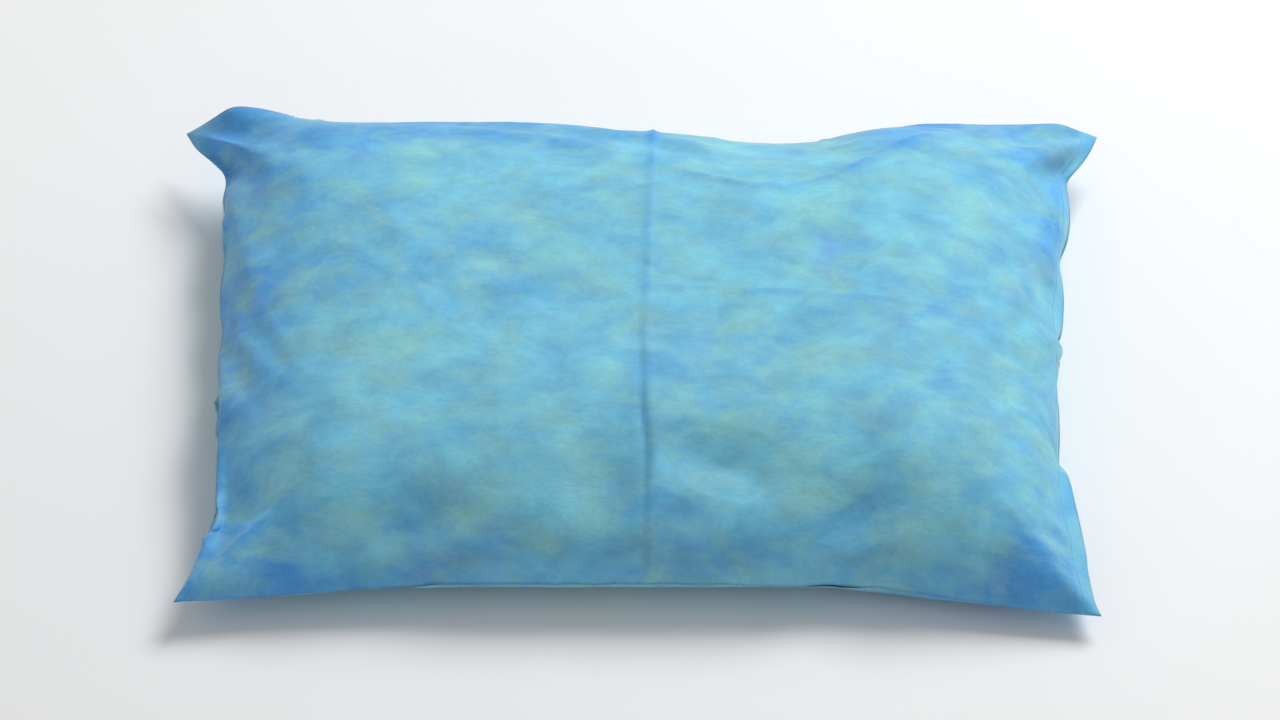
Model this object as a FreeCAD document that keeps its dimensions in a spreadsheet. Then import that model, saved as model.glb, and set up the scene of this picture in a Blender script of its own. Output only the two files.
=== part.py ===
import FreeCAD, Part
import math
import os

import Sketcher

# A stuffed bed pillow in a disposable nonwoven pillowcase, lying flat on a table.
# Millimetres. +X runs along the pillow towards the mouth of the case, +Y towards the far long side,
# +Z up. The origin is on the table, under the middle of the pillow.
#
# The case is an upper and a lower sheet, overlocked together along the two long sides and the closed
# end, with a stitched hem at the mouth. The pillow in it is an upper and a lower ticking panel with a
# corded welt in the seam between them, a care label in that seam and a loose fibre fill.

SIZES = {
    "pillow_length": 652,  # stuffed, between the middles of the short sides
    "pillow_width": 442,  # stuffed, between the middles of the long sides
    "pillow_height": 118,  # table to crown
    "pillow_corner": 62,  # corner radius in plan
    "seam_height": 30,  # table to the plane that holds every edge seam
    "crown_roll": 150,  # how far in from the edge the crown levels out
    "base_roll": 95,  # how far in from the edge the underside touches down
    "ticking_wall": 1.2,
    "seam_allowance": 8,
    "stitch_inset": 4,  # edge of the ticking to its seam stitches
    "welt_diameter": 4,
    "welt_tape": 0.6,  # thickness of the tape that covers the cord
    "cord_clearance": 0.1,
    "fill_gap": 1.5,
    "thread_diameter": 0.8,
    "label_width": 40,
    "label_height": 18,
    "label_thickness": 0.4,
    "label_offset": 60,  # middle of the short side to the near edge of the label
    "label_gap": 0.1,
    "case_wall": 1,
    "case_ease": 7.4,  # room between the welt and the case
    "layer_gap": 1,  # room above and below the pillow in the case
    "ear_reach_x": 28,  # how far the case's corners stand past the middles of its short sides
    "ear_reach_y": 18,  # how far they stand past the middles of its long sides
    "hem_width": 15,
    "mouth_gap": 3,
    "mouth_margin": 12,  # the mouth ends this far inside the ears
    "overlock_diameter": 1.6,
    "overlock_inset": 3,  # inner edge of the sheets to the middle of the overlocked edge
    "overlock_margin": 14,  # the overlocked edge ends this far before the ears
    "stitch_gap": 0.8,
}

UP, DOWN = 1, -1
LEVEL_SHARES = {UP: (0.4, 0.6, 0.8, 0.92, 1), DOWN: (0.8, 0.92, 1)}  # sections past the hem, as shares of the rise
EAR_LEFT = (1, 0.45, 0.15)  # how much of the ear is left at the seam, halfway to the hem and at the hem
CORNER_FULLNESS = 0.2  # how far the case's corners draw in, as a share of the pillow's corner radius
CROWN_ROUNDNESS = 0.9  # corner radius of the crown as a share of its half width
VOLUME_FLOOR = 1e-3

DOC = FreeCAD.newDocument("pillow_in_case")
SHEET = DOC.addObject("Spreadsheet::Sheet", "Sizes")
PIECES = []


def fill_sheet():
    for row, (alias, size) in enumerate(SIZES.items(), start=1):
        SHEET.set(f"A{row}", alias)
        SHEET.set(f"B{row}", str(size))
        SHEET.setAlias(f"B{row}", alias)
    DOC.recompute()


def cell(alias):
    """The sheet's cell as text for an expression."""
    return f"Sizes.{alias}"


def number(expression):
    """What an expression is worth now."""
    return float(FreeCAD.Units.Quantity(SHEET.evalExpression(expression)).Value)


# ---- The shape's law: outlines at levels, as expressions -------------------------------------------

PILLOW_X = f"{cell('pillow_length')} / 2"
PILLOW_Y = f"{cell('pillow_width')} / 2"
SEAM = cell("seam_height")
WELT_STANDOFF = f"({cell('label_thickness')} + 2 * {cell('label_gap')})"
WELT_MIDDLE = f"({WELT_STANDOFF} + {cell('welt_diameter')} / 2)"
CASE_REACH = f"({WELT_STANDOFF} + {cell('welt_diameter')} + {cell('case_ease')})"
PILLOW_BASE = f"({cell('case_wall')} + {cell('layer_gap')})"
HALF_TAPE = f"({cell('welt_tape')} / 2)"


def drawn_in(roll, share):
    """How far the outline has drawn in from the edge at a share of the rise: a quarter ellipse."""
    return f"{roll} * (1 - sqrt(1 - ({share}) ^ 2))"


def shares(side, rise, lift):
    """Shares of the rise at which the sections lie: the first, halfway to the hem's level, that
    level and the rest."""
    hem = cell("hem_width")
    heights = (lift, f"({lift} + {hem}) / 2", hem)
    return [f"({height} / abs({rise}))" for height in heights] + [str(s) for s in LEVEL_SHARES[side]]


def pillow_radius(share):
    """The pillow's corner radius in plan at a share of the crown's rise."""
    crown = f"{CROWN_ROUNDNESS} * ({PILLOW_Y} - {cell('crown_roll')})"
    return f"({cell('pillow_corner')} + ({crown} - {cell('pillow_corner')}) * {share})"


def facts_of(side):
    """The side's own values: its roll and the levels of the pillow, the inside and the outside of the case."""
    if side == UP:
        top = cell("pillow_height")
        return {
            "roll": cell("crown_roll"),
            "pillow": top,
            "inside": f"({top} + {cell('layer_gap')})",
            "outside": f"({top} + {cell('layer_gap')} + {cell('case_wall')})",
        }
    return {
        "roll": cell("base_roll"),
        "pillow": PILLOW_BASE,
        "inside": cell("case_wall"),
        "outside": "0",
    }


# ---- Sketches ---------------------------------------------------------------------------------------


def plane_of(body, role):
    return next(f for f in body.Origin.OriginFeatures if f.Role == role)


def level_sketch(body, name, level):
    """An empty sketch of body that lies flat at a level."""
    sketch = body.newObject("Sketcher::SketchObject", name)
    sketch.AttachmentSupport = (plane_of(body, "XY_Plane"), [""])
    sketch.MapMode = "FlatFace"
    sketch.setExpression("AttachmentOffset.Base.z", level)
    return sketch


def bind(sketch, name, constraint, expression):
    """Adds a driving constraint, named, and ties it to an expression."""
    index = sketch.addConstraint(Sketcher.Constraint(*constraint, number(expression)))
    sketch.renameConstraint(index, name)
    sketch.setExpression(f"Constraints.{name}", expression)


def arc_between(start, end, sagitta):
    """The arc from start to end, counterclockwise round the outline, that bulges out by sagitta
    (inwards if it is negative), and whether it runs from start to end."""
    middle = (start + end) * 0.5
    chord = end - start
    outward = FreeCAD.Vector(chord.y, -chord.x, 0).normalize()
    radius = (chord.Length**2 / 4 + sagitta**2) / (2 * abs(sagitta))
    centre = middle + outward * (sagitta - math.copysign(radius, sagitta))
    first, last = (start, end) if sagitta > 0 else (end, start)
    angles = [math.atan2(p.y - centre.y, p.x - centre.x) for p in (first, last)]
    if angles[1] < angles[0]:
        angles[1] += 2 * math.pi
    circle = Part.Circle(centre, FreeCAD.Vector(0, 0, 1), radius)
    return Part.ArcOfCircle(circle, *angles), sagitta > 0


def eared_outline(sketch, side_x, side_y, out_x, out_y):
    """Four arcs. Their middles are side_x and side_y from the centre, and the corners stand out
    from those by out_x and out_y, or draw in where they are negative."""
    corner_x, corner_y = f"({side_x} + {out_x})", f"({side_y} + {out_y})"
    cx, cy = number(corner_x), number(corner_y)
    corners = [FreeCAD.Vector(x * cx, y * cy, 0) for x, y in ((1, 1), (-1, 1), (-1, -1), (1, -1))]
    bulges = [-number(out_y), -number(out_x)] * 2
    ends = []
    for k in range(4):
        arc, forwards = arc_between(corners[k], corners[(k + 1) % 4], bulges[k])
        sketch.addGeometry(arc)
        ends.append((1, 2) if forwards else (2, 1))
    for k in range(4):
        after = (k + 1) % 4
        sketch.addConstraint(Sketcher.Constraint("Coincident", k, ends[k][1], after, ends[after][0]))
    first = (0, ends[0][0])
    sketch.addConstraint(Sketcher.Constraint("Symmetric", *first, 1, ends[1][0], -2))
    sketch.addConstraint(Sketcher.Constraint("Symmetric", *first, 3, ends[3][0], -1))
    sketch.addConstraint(Sketcher.Constraint("Symmetric", *first, 2, ends[2][0], -1, 1))
    bind(sketch, "corner_x", ("DistanceX", -1, 1, *first), corner_x)
    bind(sketch, "corner_y", ("DistanceY", -1, 1, *first), corner_y)
    for name, arcs, half, bulge in (("long", (0, 2), corner_x, out_y), ("short", (1, 3), corner_y, out_x)):
        sketch.addConstraint(Sketcher.Constraint("Equal", *arcs))
        bind(sketch, f"{name}_radius", ("Radius", arcs[0]), arc_radius(half, bulge))


def arc_radius(half_chord, bulge):
    """The radius of an arc with that half chord and that bulge, as an expression."""
    return f"(({half_chord}) ^ 2 + ({bulge}) ^ 2) / (2 * abs({bulge}))"


def rounded_outline(sketch, half_x, half_y, radius, prefix=""):
    """A rectangle with rounded corners, centred on the origin."""
    hx, hy, r = number(half_x), number(half_y), number(radius)
    first = sketch.GeometryCount
    turns = ((1, -1, -90), (1, 1, 0), (-1, 1, 90), (-1, -1, 180))
    for k, (sx, sy, start) in enumerate(turns):
        before = turns[k - 1]
        centre = FreeCAD.Vector(sx * (hx - r), sy * (hy - r), 0)
        centre_before = FreeCAD.Vector(before[0] * (hx - r), before[1] * (hy - r), 0)
        a = math.radians(start)
        step = FreeCAD.Vector(r * math.cos(a), r * math.sin(a), 0)
        sketch.addGeometry(Part.LineSegment(centre_before + step, centre + step))
        circle = Part.Circle(centre, FreeCAD.Vector(0, 0, 1), r)
        sketch.addGeometry(Part.ArcOfCircle(circle, a, a + math.pi / 2))
    for k in range(8):
        here, after = first + k, first + (k + 1) % 8
        sketch.addConstraint(Sketcher.Constraint("Tangent", here, 2, after, 1))
    for k, way in enumerate(("Horizontal", "Vertical") * 2):
        sketch.addConstraint(Sketcher.Constraint(way, first + 2 * k))
    for k in (3, 5, 7):
        sketch.addConstraint(Sketcher.Constraint("Equal", first + 1, first + k))
    bind(sketch, f"{prefix}radius", ("Radius", first + 1), radius)
    for name, axis, line, half in (
        ("front", "DistanceY", 0, f"-({half_y})"),
        ("right", "DistanceX", 2, half_x),
        ("back", "DistanceY", 4, half_y),
        ("left", "DistanceX", 6, f"-({half_x})"),
    ):
        bind(sketch, f"{prefix}{name}", (axis, -1, 1, first + line, 1), half)


# ---- Solids -----------------------------------------------------------------------------------------


def lofted(name, sections):
    """A body lofted through sections, each (level, function that draws it, its values)."""
    body = DOC.addObject("PartDesign::Body", name)
    sketches = []
    for k, (level, draw, values) in enumerate(sections):
        sketch = level_sketch(body, f"{name}_section_{k}", level)
        draw(sketch, *values)
        sketches.append(sketch)
    loft = body.newObject("PartDesign::AdditiveLoft", f"{name}_loft")
    loft.Profile = sketches[0]
    loft.Sections = sketches[1:]
    loft.Ruled = True
    return body


def case_form(name, side, skin):
    """The upper or lower half of the case's form, to the inside or the outside of the sheet."""
    facts = facts_of(side)
    wall = cell("case_wall") if skin == "outside" else "0"
    end = facts[skin]
    rise = f"{end} - {SEAM}"
    half_x = f"{PILLOW_X} + {CASE_REACH} + {wall}"
    half_y = f"{PILLOW_Y} + {CASE_REACH} + {wall}"
    sections = []
    for k, share in enumerate(shares(side, rise, "0")):
        inset = drawn_in(facts["roll"], share)
        if k < len(EAR_LEFT):
            out = [f"({EAR_LEFT[k]} * {cell(f'ear_reach_{axis}')} + {wall} / 2)" for axis in "xy"]
        else:
            out = [f"(-{CORNER_FULLNESS} * {pillow_radius(share)})"] * 2
        values = (f"({half_x} - {inset})", f"({half_y} - {inset})", *out)
        sections.append((f"{SEAM} + ({rise}) * {share}", eared_outline, values))
    return lofted(name, sections)


def pillow_form(name, side, wall, lift=HALF_TAPE):
    """The upper or lower half of the pillow's form, inside its outer surface by wall, from lift off
    the plane of the seam."""
    facts = facts_of(side)
    rise = f"{facts['pillow']} - {side} * {wall} - {SEAM}"
    sections = []
    for share in shares(side, rise, lift):
        inset = f"{drawn_in(facts['roll'], share)} + {wall}"
        half = [f"({whole} - ({inset}))" for whole in (PILLOW_X, PILLOW_Y)]
        radius = f"({pillow_radius(share)} - {wall})"
        sections.append((f"{SEAM} + ({rise}) * {share}", rounded_outline, (*half, radius)))
    return lofted(name, sections)


def joined(kind, name, *parts):
    """A Part::Cut or Part::MultiFuse of parts."""
    made = DOC.addObject(kind, name)
    if kind == "Part::Cut":
        made.Base, made.Tool = parts
    else:
        made.Shapes = list(parts)
    return made


def placed(made, base, yaw=None, rolled=None):
    """Ties a primitive's place to expressions, turned about Z by yaw, or laid along rolled."""
    if rolled is not None:
        made.Placement = FreeCAD.Placement(FreeCAD.Vector(), FreeCAD.Rotation(FreeCAD.Vector(0, 0, 1), rolled))
    for axis, expression in zip("xyz", base):
        made.setExpression(f"Placement.Base.{axis}", expression)
    if yaw is not None:
        made.setExpression("Placement.Rotation.Angle", yaw)
    return made


def primitive(kind, name, **sizes):
    made = DOC.addObject(kind, name)
    for key, expression in sizes.items():
        made.setExpression(key, expression)
    return made


def ring_tube(name, half_x, half_y, corner, tube, level):
    """A round tube that follows a rounded rectangle at a level: four rods and four quarter rings."""
    parts = []
    straight_x, straight_y = f"({half_x} - {corner})", f"({half_y} - {corner})"
    runs = (
        ("front", straight_x, FreeCAD.Vector(1, 0, 0), (f"-{straight_x}", f"-({half_y})")),
        ("back", straight_x, FreeCAD.Vector(1, 0, 0), (f"-{straight_x}", half_y)),
        ("left", straight_y, FreeCAD.Vector(0, 1, 0), (f"-({half_x})", f"-{straight_y}")),
        ("right", straight_y, FreeCAD.Vector(0, 1, 0), (half_x, f"-{straight_y}")),
    )
    for label, half, along, (x, y) in runs:
        rod = primitive("Part::Cylinder", f"{name}_{label}", Radius=tube, Height=f"2 * {half}")
        parts.append(placed(rod, (x, y, level), rolled=along))
    for k, (sx, sy) in enumerate((("", ""), ("-", ""), ("-", "-"), ("", "-"))):
        ring = primitive("Part::Torus", f"{name}_corner_{k}", Radius1=corner, Radius2=tube)
        ring.Angle3 = 90
        base = (f"{sx}{straight_x}", f"{sy}{straight_y}", level)
        parts.append(placed(ring, base, yaw=f"{90 * k} deg"))
    return joined("Part::MultiFuse", name, *parts)


def side_tube(name, half_chord, bulge, middle, heading, tube, level, margin):
    """A thread along one side of the case, as a piece of a large ring. The side's arc has that
    half chord and bows inwards by bulge at its middle, which lies at middle from the centre in the
    direction heading, in degrees. The thread stops margin short of the arc's ends."""
    radius = arc_radius(half_chord, bulge)
    half_angle = f"asin(({half_chord} - {margin}) / ({radius}))"
    ring = primitive(
        "Part::Torus", name, Radius1=radius, Radius2=tube, Angle3=f"2 * {half_angle}"
    )
    reach = f"({middle} + {radius})"
    across = math.radians(heading)
    base = [f"{reach} * {round(math.cos(across))}", f"{reach} * {round(math.sin(across))}", level]
    return placed(ring, base, yaw=f"{heading + 180} deg - {half_angle}")


def piece(made, label):
    """Marks an object as a sub-part: its label names its file."""
    made.Label = label
    PIECES.append(made)
    return made


# ---- The pillowcase ---------------------------------------------------------------------------------

CASE_X = f"({PILLOW_X} + {CASE_REACH})"
CASE_Y = f"({PILLOW_Y} + {CASE_REACH})"


def mouth_slot(name):
    """The slit between the two lips of the mouth."""
    slot = primitive(
        "Part::Box",
        name,
        Length=f"2 * {cell('ear_reach_x')}",
        Width=f"2 * ({CASE_Y} - {cell('mouth_margin')})",
        Height=cell("mouth_gap"),
    )
    base = (
        f"{CASE_X} - {cell('ear_reach_x')} / 2",
        f"-({CASE_Y} - {cell('mouth_margin')})",
        f"{SEAM} - {cell('mouth_gap')} / 2",
    )
    return placed(slot, base)


def case_panels():
    for side, label in ((UP, "case_upper_panel"), (DOWN, "case_lower_panel")):
        outside = case_form(f"{label}_outside", side, "outside")
        inside = case_form(f"{label}_inside", side, "inside")
        shell = joined("Part::Cut", f"{label}_shell", outside, inside)
        piece(joined("Part::Cut", f"{label}_cut", shell, mouth_slot(f"{label}_mouth")), label)


def case_seams():
    """The overlocked edges, just inside the two long sides and the closed end."""
    inset, tube = cell("overlock_inset"), f"{cell('overlock_diameter')} / 2"
    ends = {"x": f"({CASE_X} + {cell('ear_reach_x')})", "y": f"({CASE_Y} + {cell('ear_reach_y')})"}
    seams = (
        ("case_front_seam", ends["x"], cell("ear_reach_y"), CASE_Y, -90),
        ("case_back_seam", ends["x"], cell("ear_reach_y"), CASE_Y, 90),
        ("case_end_seam", ends["y"], cell("ear_reach_x"), CASE_X, 180),
    )
    for label, half_chord, bulge, side, heading in seams:
        middle = f"({side} - {inset})"
        margin = cell("overlock_margin")
        piece(side_tube(label, half_chord, bulge, middle, heading, tube, SEAM, margin), label)


def hem_stitches():
    """The row of stitches that holds each lip's hem, against the inside of the sheet, which leans
    in over the thread."""
    tube = f"{cell('thread_diameter')} / 2"
    for side, label in ((UP, "upper_hem_stitches"), (DOWN, "lower_hem_stitches")):
        facts = facts_of(side)
        rise = f"abs({facts['inside']} - {SEAM})"
        share = f"({cell('hem_width')} / {rise})"
        inset = drawn_in(facts["roll"], share)
        bulge = f"({EAR_LEFT[-1]} * {cell('ear_reach_x')})"
        half_chord = f"({CASE_Y} - {inset} + {EAR_LEFT[-1]} * {cell('ear_reach_y')})"
        lean = f"{tube} * {facts['roll']} / {rise} * {share} / sqrt(1 - {share} ^ 2)"
        middle = f"({CASE_X} - {inset} - {cell('stitch_gap')} - {tube} - {lean})"
        level = f"{SEAM} + {side} * {cell('hem_width')}"
        margin = f"(2 * {cell('overlock_margin')})"
        piece(side_tube(label, half_chord, bulge, middle, 0, tube, level, margin), label)


# ---- The pillow -------------------------------------------------------------------------------------


def flat_ring(name, outer, inner, low, high):
    """A flat ring between two insets from the pillow's outline, from level low to level high."""
    body = DOC.addObject("PartDesign::Body", name)
    sketch = level_sketch(body, f"{name}_outline", low)
    for prefix, inset in (("outer_", outer), ("inner_", inner)):
        half = [f"({whole} - ({inset}))" for whole in (PILLOW_X, PILLOW_Y)]
        rounded_outline(sketch, *half, f"({cell('pillow_corner')} - ({inset}))", prefix)
    pad = body.newObject("PartDesign::Pad", f"{name}_pad")
    pad.Profile = sketch
    pad.setExpression("Length", f"{high} - ({low})")
    return body


def ticking_panels():
    """Each panel is a shell whose seam allowance turns in flat against the welt's tape."""
    wall = cell("ticking_wall")
    for side, label in ((UP, "ticking_upper_panel"), (DOWN, "ticking_lower_panel")):
        outside = pillow_form(f"{label}_outside", side, "0")
        inside = pillow_form(f"{label}_inside", side, wall, f"({HALF_TAPE} + {wall})")
        shell = joined("Part::Cut", f"{label}_shell", outside, inside)
        ends = [SEAM, f"{SEAM} + {side} * ({HALF_TAPE} + 2 * {wall})"]
        opening = flat_disc(f"{label}_opening", cell("seam_allowance"), *ends[::side])
        piece(joined("Part::Cut", f"{label}_cut", shell, opening), label)


def outset_ring(name, outset, tube, level=SEAM):
    """A tube round the pillow, its middle outset from the edge of the ticking."""
    half = [f"({whole} + ({outset}))" for whole in (PILLOW_X, PILLOW_Y)]
    return ring_tube(name, *half, f"({cell('pillow_corner')} + ({outset}))", tube, level)


def welt():
    """The cord in the seam, and the tape that wraps it and runs in between the panels."""
    cover = f"{cell('welt_diameter')} / 2"
    bore = f"({cover} - {cell('welt_tape')})"
    tape = flat_ring(
        "welt_tape_ring",
        f"-({WELT_STANDOFF} + {HALF_TAPE})",
        cell("seam_allowance"),
        f"{SEAM} - {HALF_TAPE}",
        f"{SEAM} + {HALF_TAPE}",
    )
    wrapped = joined("Part::MultiFuse", "welt_wrap", outset_ring("welt_round", WELT_MIDDLE, cover), tape)
    room = outset_ring("welt_room", WELT_MIDDLE, bore)
    piece(joined("Part::Cut", "welt_cover_cut", wrapped, room), "welt_cover")
    cord = outset_ring("welt_cord_ring", WELT_MIDDLE, f"({bore} - {cell('cord_clearance')})")
    piece(cord, "welt_cord")


def ticking_thread():
    """The needle's thread above the seam allowances and the bobbin's thread below them."""
    tube = f"{cell('thread_diameter')} / 2"
    reach = f"({HALF_TAPE} + {cell('ticking_wall')} + {tube})"
    for side, label in ((UP, "needle_thread"), (DOWN, "bobbin_thread")):
        level = f"{SEAM} + {side} * {reach}"
        piece(outset_ring(f"{label}_ring", f"-{cell('stitch_inset')}", tube, level), label)


def care_label():
    """A blank tape that stands up out of the seam at one short side."""
    label = primitive(
        "Part::Box",
        "care_label_box",
        Length=cell("label_thickness"),
        Width=cell("label_width"),
        Height=f"{cell('label_height')} - {HALF_TAPE}",
    )
    base = (f"{PILLOW_X} + {cell('label_gap')}", cell("label_offset"), f"{SEAM} + {HALF_TAPE}")
    piece(placed(label, base), "care_label")


def fibre_fill():
    """It fills the ticking, and draws in to a waist that passes between the seam allowances."""
    wall = f"({cell('ticking_wall')} + {cell('fill_gap')})"
    lift = f"({HALF_TAPE} + {cell('ticking_wall')} + {cell('thread_diameter')} + {cell('fill_gap')})"
    halves = [pillow_form(f"fill_{name}", side, wall, lift) for side, name in ((UP, "top"), (DOWN, "base"))]
    inset = f"({cell('seam_allowance')} + {cell('fill_gap')})"
    waist = flat_disc("fill_waist", inset, f"{SEAM} - {lift}", f"{SEAM} + {lift}")
    piece(joined("Part::MultiFuse", "fibre_fill_joined", *halves, waist), "fibre_fill")


def flat_disc(name, inset, low, high):
    """A flat slab inside an inset from the pillow's outline, from level low to level high."""
    body = DOC.addObject("PartDesign::Body", name)
    sketch = level_sketch(body, f"{name}_outline", low)
    half = [f"({whole} - {inset})" for whole in (PILLOW_X, PILLOW_Y)]
    rounded_outline(sketch, *half, f"({cell('pillow_corner')} - {inset})")
    pad = body.newObject("PartDesign::Pad", f"{name}_pad")
    pad.Profile = sketch
    pad.setExpression("Length", f"{high} - ({low})")
    return body


# ---- Checks and files -------------------------------------------------------------------------------


def check():
    """Stops if any object failed or any sub-part isn't a sound solid."""
    failed = [o.Name for o in DOC.Objects if {"Invalid", "Error"} & set(o.State)]
    if failed:
        raise RuntimeError(f"these objects failed: {failed}")
    for made in PIECES:
        shape = made.Shape
        if shape.isNull() or not shape.isValid() or shape.Volume < VOLUME_FLOOR or not shape.Solids:
            raise RuntimeError(f"{made.Label} isn't a sound solid")


def write():
    os.makedirs("parts", exist_ok=True)
    for made in PIECES:
        made.Shape.exportStep(os.path.join("parts", f"{made.Label}.step"))
        box = made.Shape.BoundBox
        sizes = f"{box.XLength:.1f} x {box.YLength:.1f} x {box.ZLength:.1f}"
        print(f"{made.Label}: {sizes} mm, {made.Shape.Volume / 1000:.2f} cm3, {len(made.Shape.Solids)} solid")


fill_sheet()
case_panels()
case_seams()
hem_stitches()
ticking_panels()
welt()
ticking_thread()
care_label()
fibre_fill()
DOC.recompute()
check()
write()
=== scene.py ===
"""A stuffed bed pillow in a disposable nonwoven pillowcase, built round its CAD frame.

Metres, in the CAD model's own frame: +X runs along the pillow to the mouth of the case, +Y to the
far long side and +Z up from the surface that the pillow lies on. The case is draped over the pillow
by a cloth simulation; the packing folds of the sheet and its seams are worked in afterwards.
"""

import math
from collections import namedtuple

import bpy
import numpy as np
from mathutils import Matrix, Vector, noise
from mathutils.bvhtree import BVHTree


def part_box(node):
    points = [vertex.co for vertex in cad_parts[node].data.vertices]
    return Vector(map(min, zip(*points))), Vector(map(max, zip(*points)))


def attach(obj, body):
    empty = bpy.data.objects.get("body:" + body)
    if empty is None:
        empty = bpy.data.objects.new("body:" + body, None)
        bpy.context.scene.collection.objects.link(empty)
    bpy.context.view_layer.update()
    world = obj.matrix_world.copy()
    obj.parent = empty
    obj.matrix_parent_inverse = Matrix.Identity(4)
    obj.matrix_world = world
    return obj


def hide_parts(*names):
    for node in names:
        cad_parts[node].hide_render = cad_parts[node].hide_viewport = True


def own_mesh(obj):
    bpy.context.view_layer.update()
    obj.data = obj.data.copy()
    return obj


bl_info = {
    "name": "Pillow in a disposable case",
    "version": (1, 0, 0),
    "blender": (4, 5, 0),
    "location": "3D View > Sidebar > Pillow",
    "description": "Makes a stuffed bed pillow, its nonwoven case and a plain studio round a CAD frame",
    "category": "Object",
}

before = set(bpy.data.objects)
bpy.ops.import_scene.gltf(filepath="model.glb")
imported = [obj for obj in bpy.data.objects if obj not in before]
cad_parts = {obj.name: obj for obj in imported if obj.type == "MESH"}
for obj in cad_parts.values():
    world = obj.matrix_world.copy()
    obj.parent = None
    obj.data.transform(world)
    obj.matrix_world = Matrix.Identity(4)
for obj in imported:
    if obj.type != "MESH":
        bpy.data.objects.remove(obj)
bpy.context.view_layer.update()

MM = 0.001
MASS_BODY, BAG_BODY = "pillow", "pillowcase"

TICKING_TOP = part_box("ticking_upper_panel")[1]
TICKING_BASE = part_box("ticking_lower_panel")[0]
WELT_LOW, WELT_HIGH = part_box("welt_cover")
CORD_LOW, CORD_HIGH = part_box("welt_cord")
NEEDLE_LOW, NEEDLE_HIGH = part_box("needle_thread")
BOBBIN_LOW, BOBBIN_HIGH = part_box("bobbin_thread")
LABEL_LOW, LABEL_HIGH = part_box("care_label")
FILL_LOW, FILL_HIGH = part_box("fibre_fill")
SEAM_THREAD_LOW, SEAM_THREAD_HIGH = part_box("case_front_seam")
HEM_THREAD_LOW, HEM_THREAD_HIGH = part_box("upper_hem_stitches")

SEAM_Z = (WELT_LOW.z + WELT_HIGH.z) / 2
WELT_RADIUS = (WELT_HIGH.z - WELT_LOW.z) / 2
WELT_OUTSET = WELT_HIGH.x - WELT_RADIUS - TICKING_TOP.x
CORD_RADIUS = (CORD_HIGH.z - CORD_LOW.z) / 2
THREAD_RADIUS = (NEEDLE_HIGH.z - NEEDLE_LOW.z) / 2
NEEDLE_INSET = TICKING_TOP.x - (NEEDLE_HIGH.x - THREAD_RADIUS)
HEM_WIDTH = (HEM_THREAD_LOW.z + HEM_THREAD_HIGH.z) / 2 - SEAM_Z
OVERLOCK_RADIUS = (SEAM_THREAD_HIGH.z - SEAM_THREAD_LOW.z) / 2
WALL_GAP = 0.3 * MM  # between faces that lie against each other
CREASE_SHADE_COLOUR = (0.04, 0.21, 0.38)  # painted shade, of the sheet where a packing fold is pressed in

# ---- Listed features --------------------------------------------------------------------------------

# A hollow in the stuffing: where its middle is, how deep, its two half widths and how it is turned.
Hollow = namedtuple("Hollow", "x y depth reach_x reach_y turn")
HOLLOWS = (
    Hollow(0.172, -0.192, 19 * MM, 0.036, 0.024, 30),
    Hollow(-0.300, -0.178, 10 * MM, 0.030, 0.045, -20),
    Hollow(-0.190, -0.200, 13 * MM, 0.050, 0.022, 0),
    Hollow(-0.024, -0.172, 10 * MM, 0.030, 0.030, 0),
    Hollow(0.070, -0.160, 13 * MM, 0.045, 0.020, -15),
    Hollow(0.112, 0.190, 9 * MM, 0.050, 0.040, 0),
)

# A fold left in the sheet by its packing, along points of the flat sheet, from its middle.
Fold = namedtuple("Fold", "height width points")
MIDDLE_CREASE = ((0.001, -0.040), (0.002, -0.110), (0.007, -0.150), (0.005, -0.205), (0.009, -0.262))
FOLDS = (
    Fold(2.6 * MM, 3.2 * MM, ((0.012, 0.264), (0.010, 0.190))),
    Fold(1.7 * MM, 3.0 * MM, ((0.010, 0.200), (0.004, -0.010), (0.003, -0.070))),
    Fold(2.6 * MM, 9.0 * MM, MIDDLE_CREASE),
    Fold(-3.6 * MM, 3.4 * MM, MIDDLE_CREASE),
    Fold(1.3 * MM, 2.6 * MM, ((-0.010, 0.017), (0.130, 0.011), (0.250, 0.002))),
    Fold(
        2.4 * MM,
        4.6 * MM,
        ((0.016, 0.158), (0.080, 0.136), (0.120, 0.130), (0.160, 0.146), (0.245, 0.222)),
    ),
)

# Where the case's edge ends up at its corners: a point of the flat sheet, and its place in space.
Tip = namedtuple("Tip", "u v x y z")
TIPS = (
    Tip(-0.380, 0.265, -0.366, 0.241, 0.040),
    Tip(-0.332, 0.265, -0.329, 0.240, 0.073),
    Tip(0.380, 0.265, 0.369, 0.240, 0.038),
    Tip(0.344, 0.265, 0.340, 0.240, 0.056),
    Tip(-0.380, 0.209, -0.336, 0.195, 0.050),
    Tip(0.380, 0.208, 0.345, 0.189, 0.045),
    Tip(-0.380, -0.265, -0.370, -0.246, 0.030),
    Tip(-0.380, -0.232, -0.353, -0.218, 0.035),
    Tip(-0.380, -0.181, -0.336, -0.170, 0.040),
    Tip(0.380, -0.265, 0.366, -0.252, 0.020),
    Tip(0.380, -0.212, 0.356, -0.201, 0.027),
    Tip(0.380, -0.162, 0.348, -0.152, 0.032),
    Tip(0.380, -0.115, 0.334, -0.108, 0.036),
)

# A place of the sheet that has been drawn aside: its point of the flat sheet, where it went and how far
# round it the rest followed.
Pull = namedtuple("Pull", "u v dx dy dz reach")
PULLS = (
    Pull(-0.270, 0.255, 0.0, 0.002, 0.009, 0.070),
    Pull(-0.175, 0.250, 0.0, 0.002, 0.010, 0.075),
    Pull(0.225, 0.250, 0.0, 0.002, 0.010, 0.060),
    Pull(-0.050, 0.250, 0.0, 0.001, 0.005, 0.080),
    Pull(0.115, 0.240, 0.0, -0.001, -0.003, 0.045),
)

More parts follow.
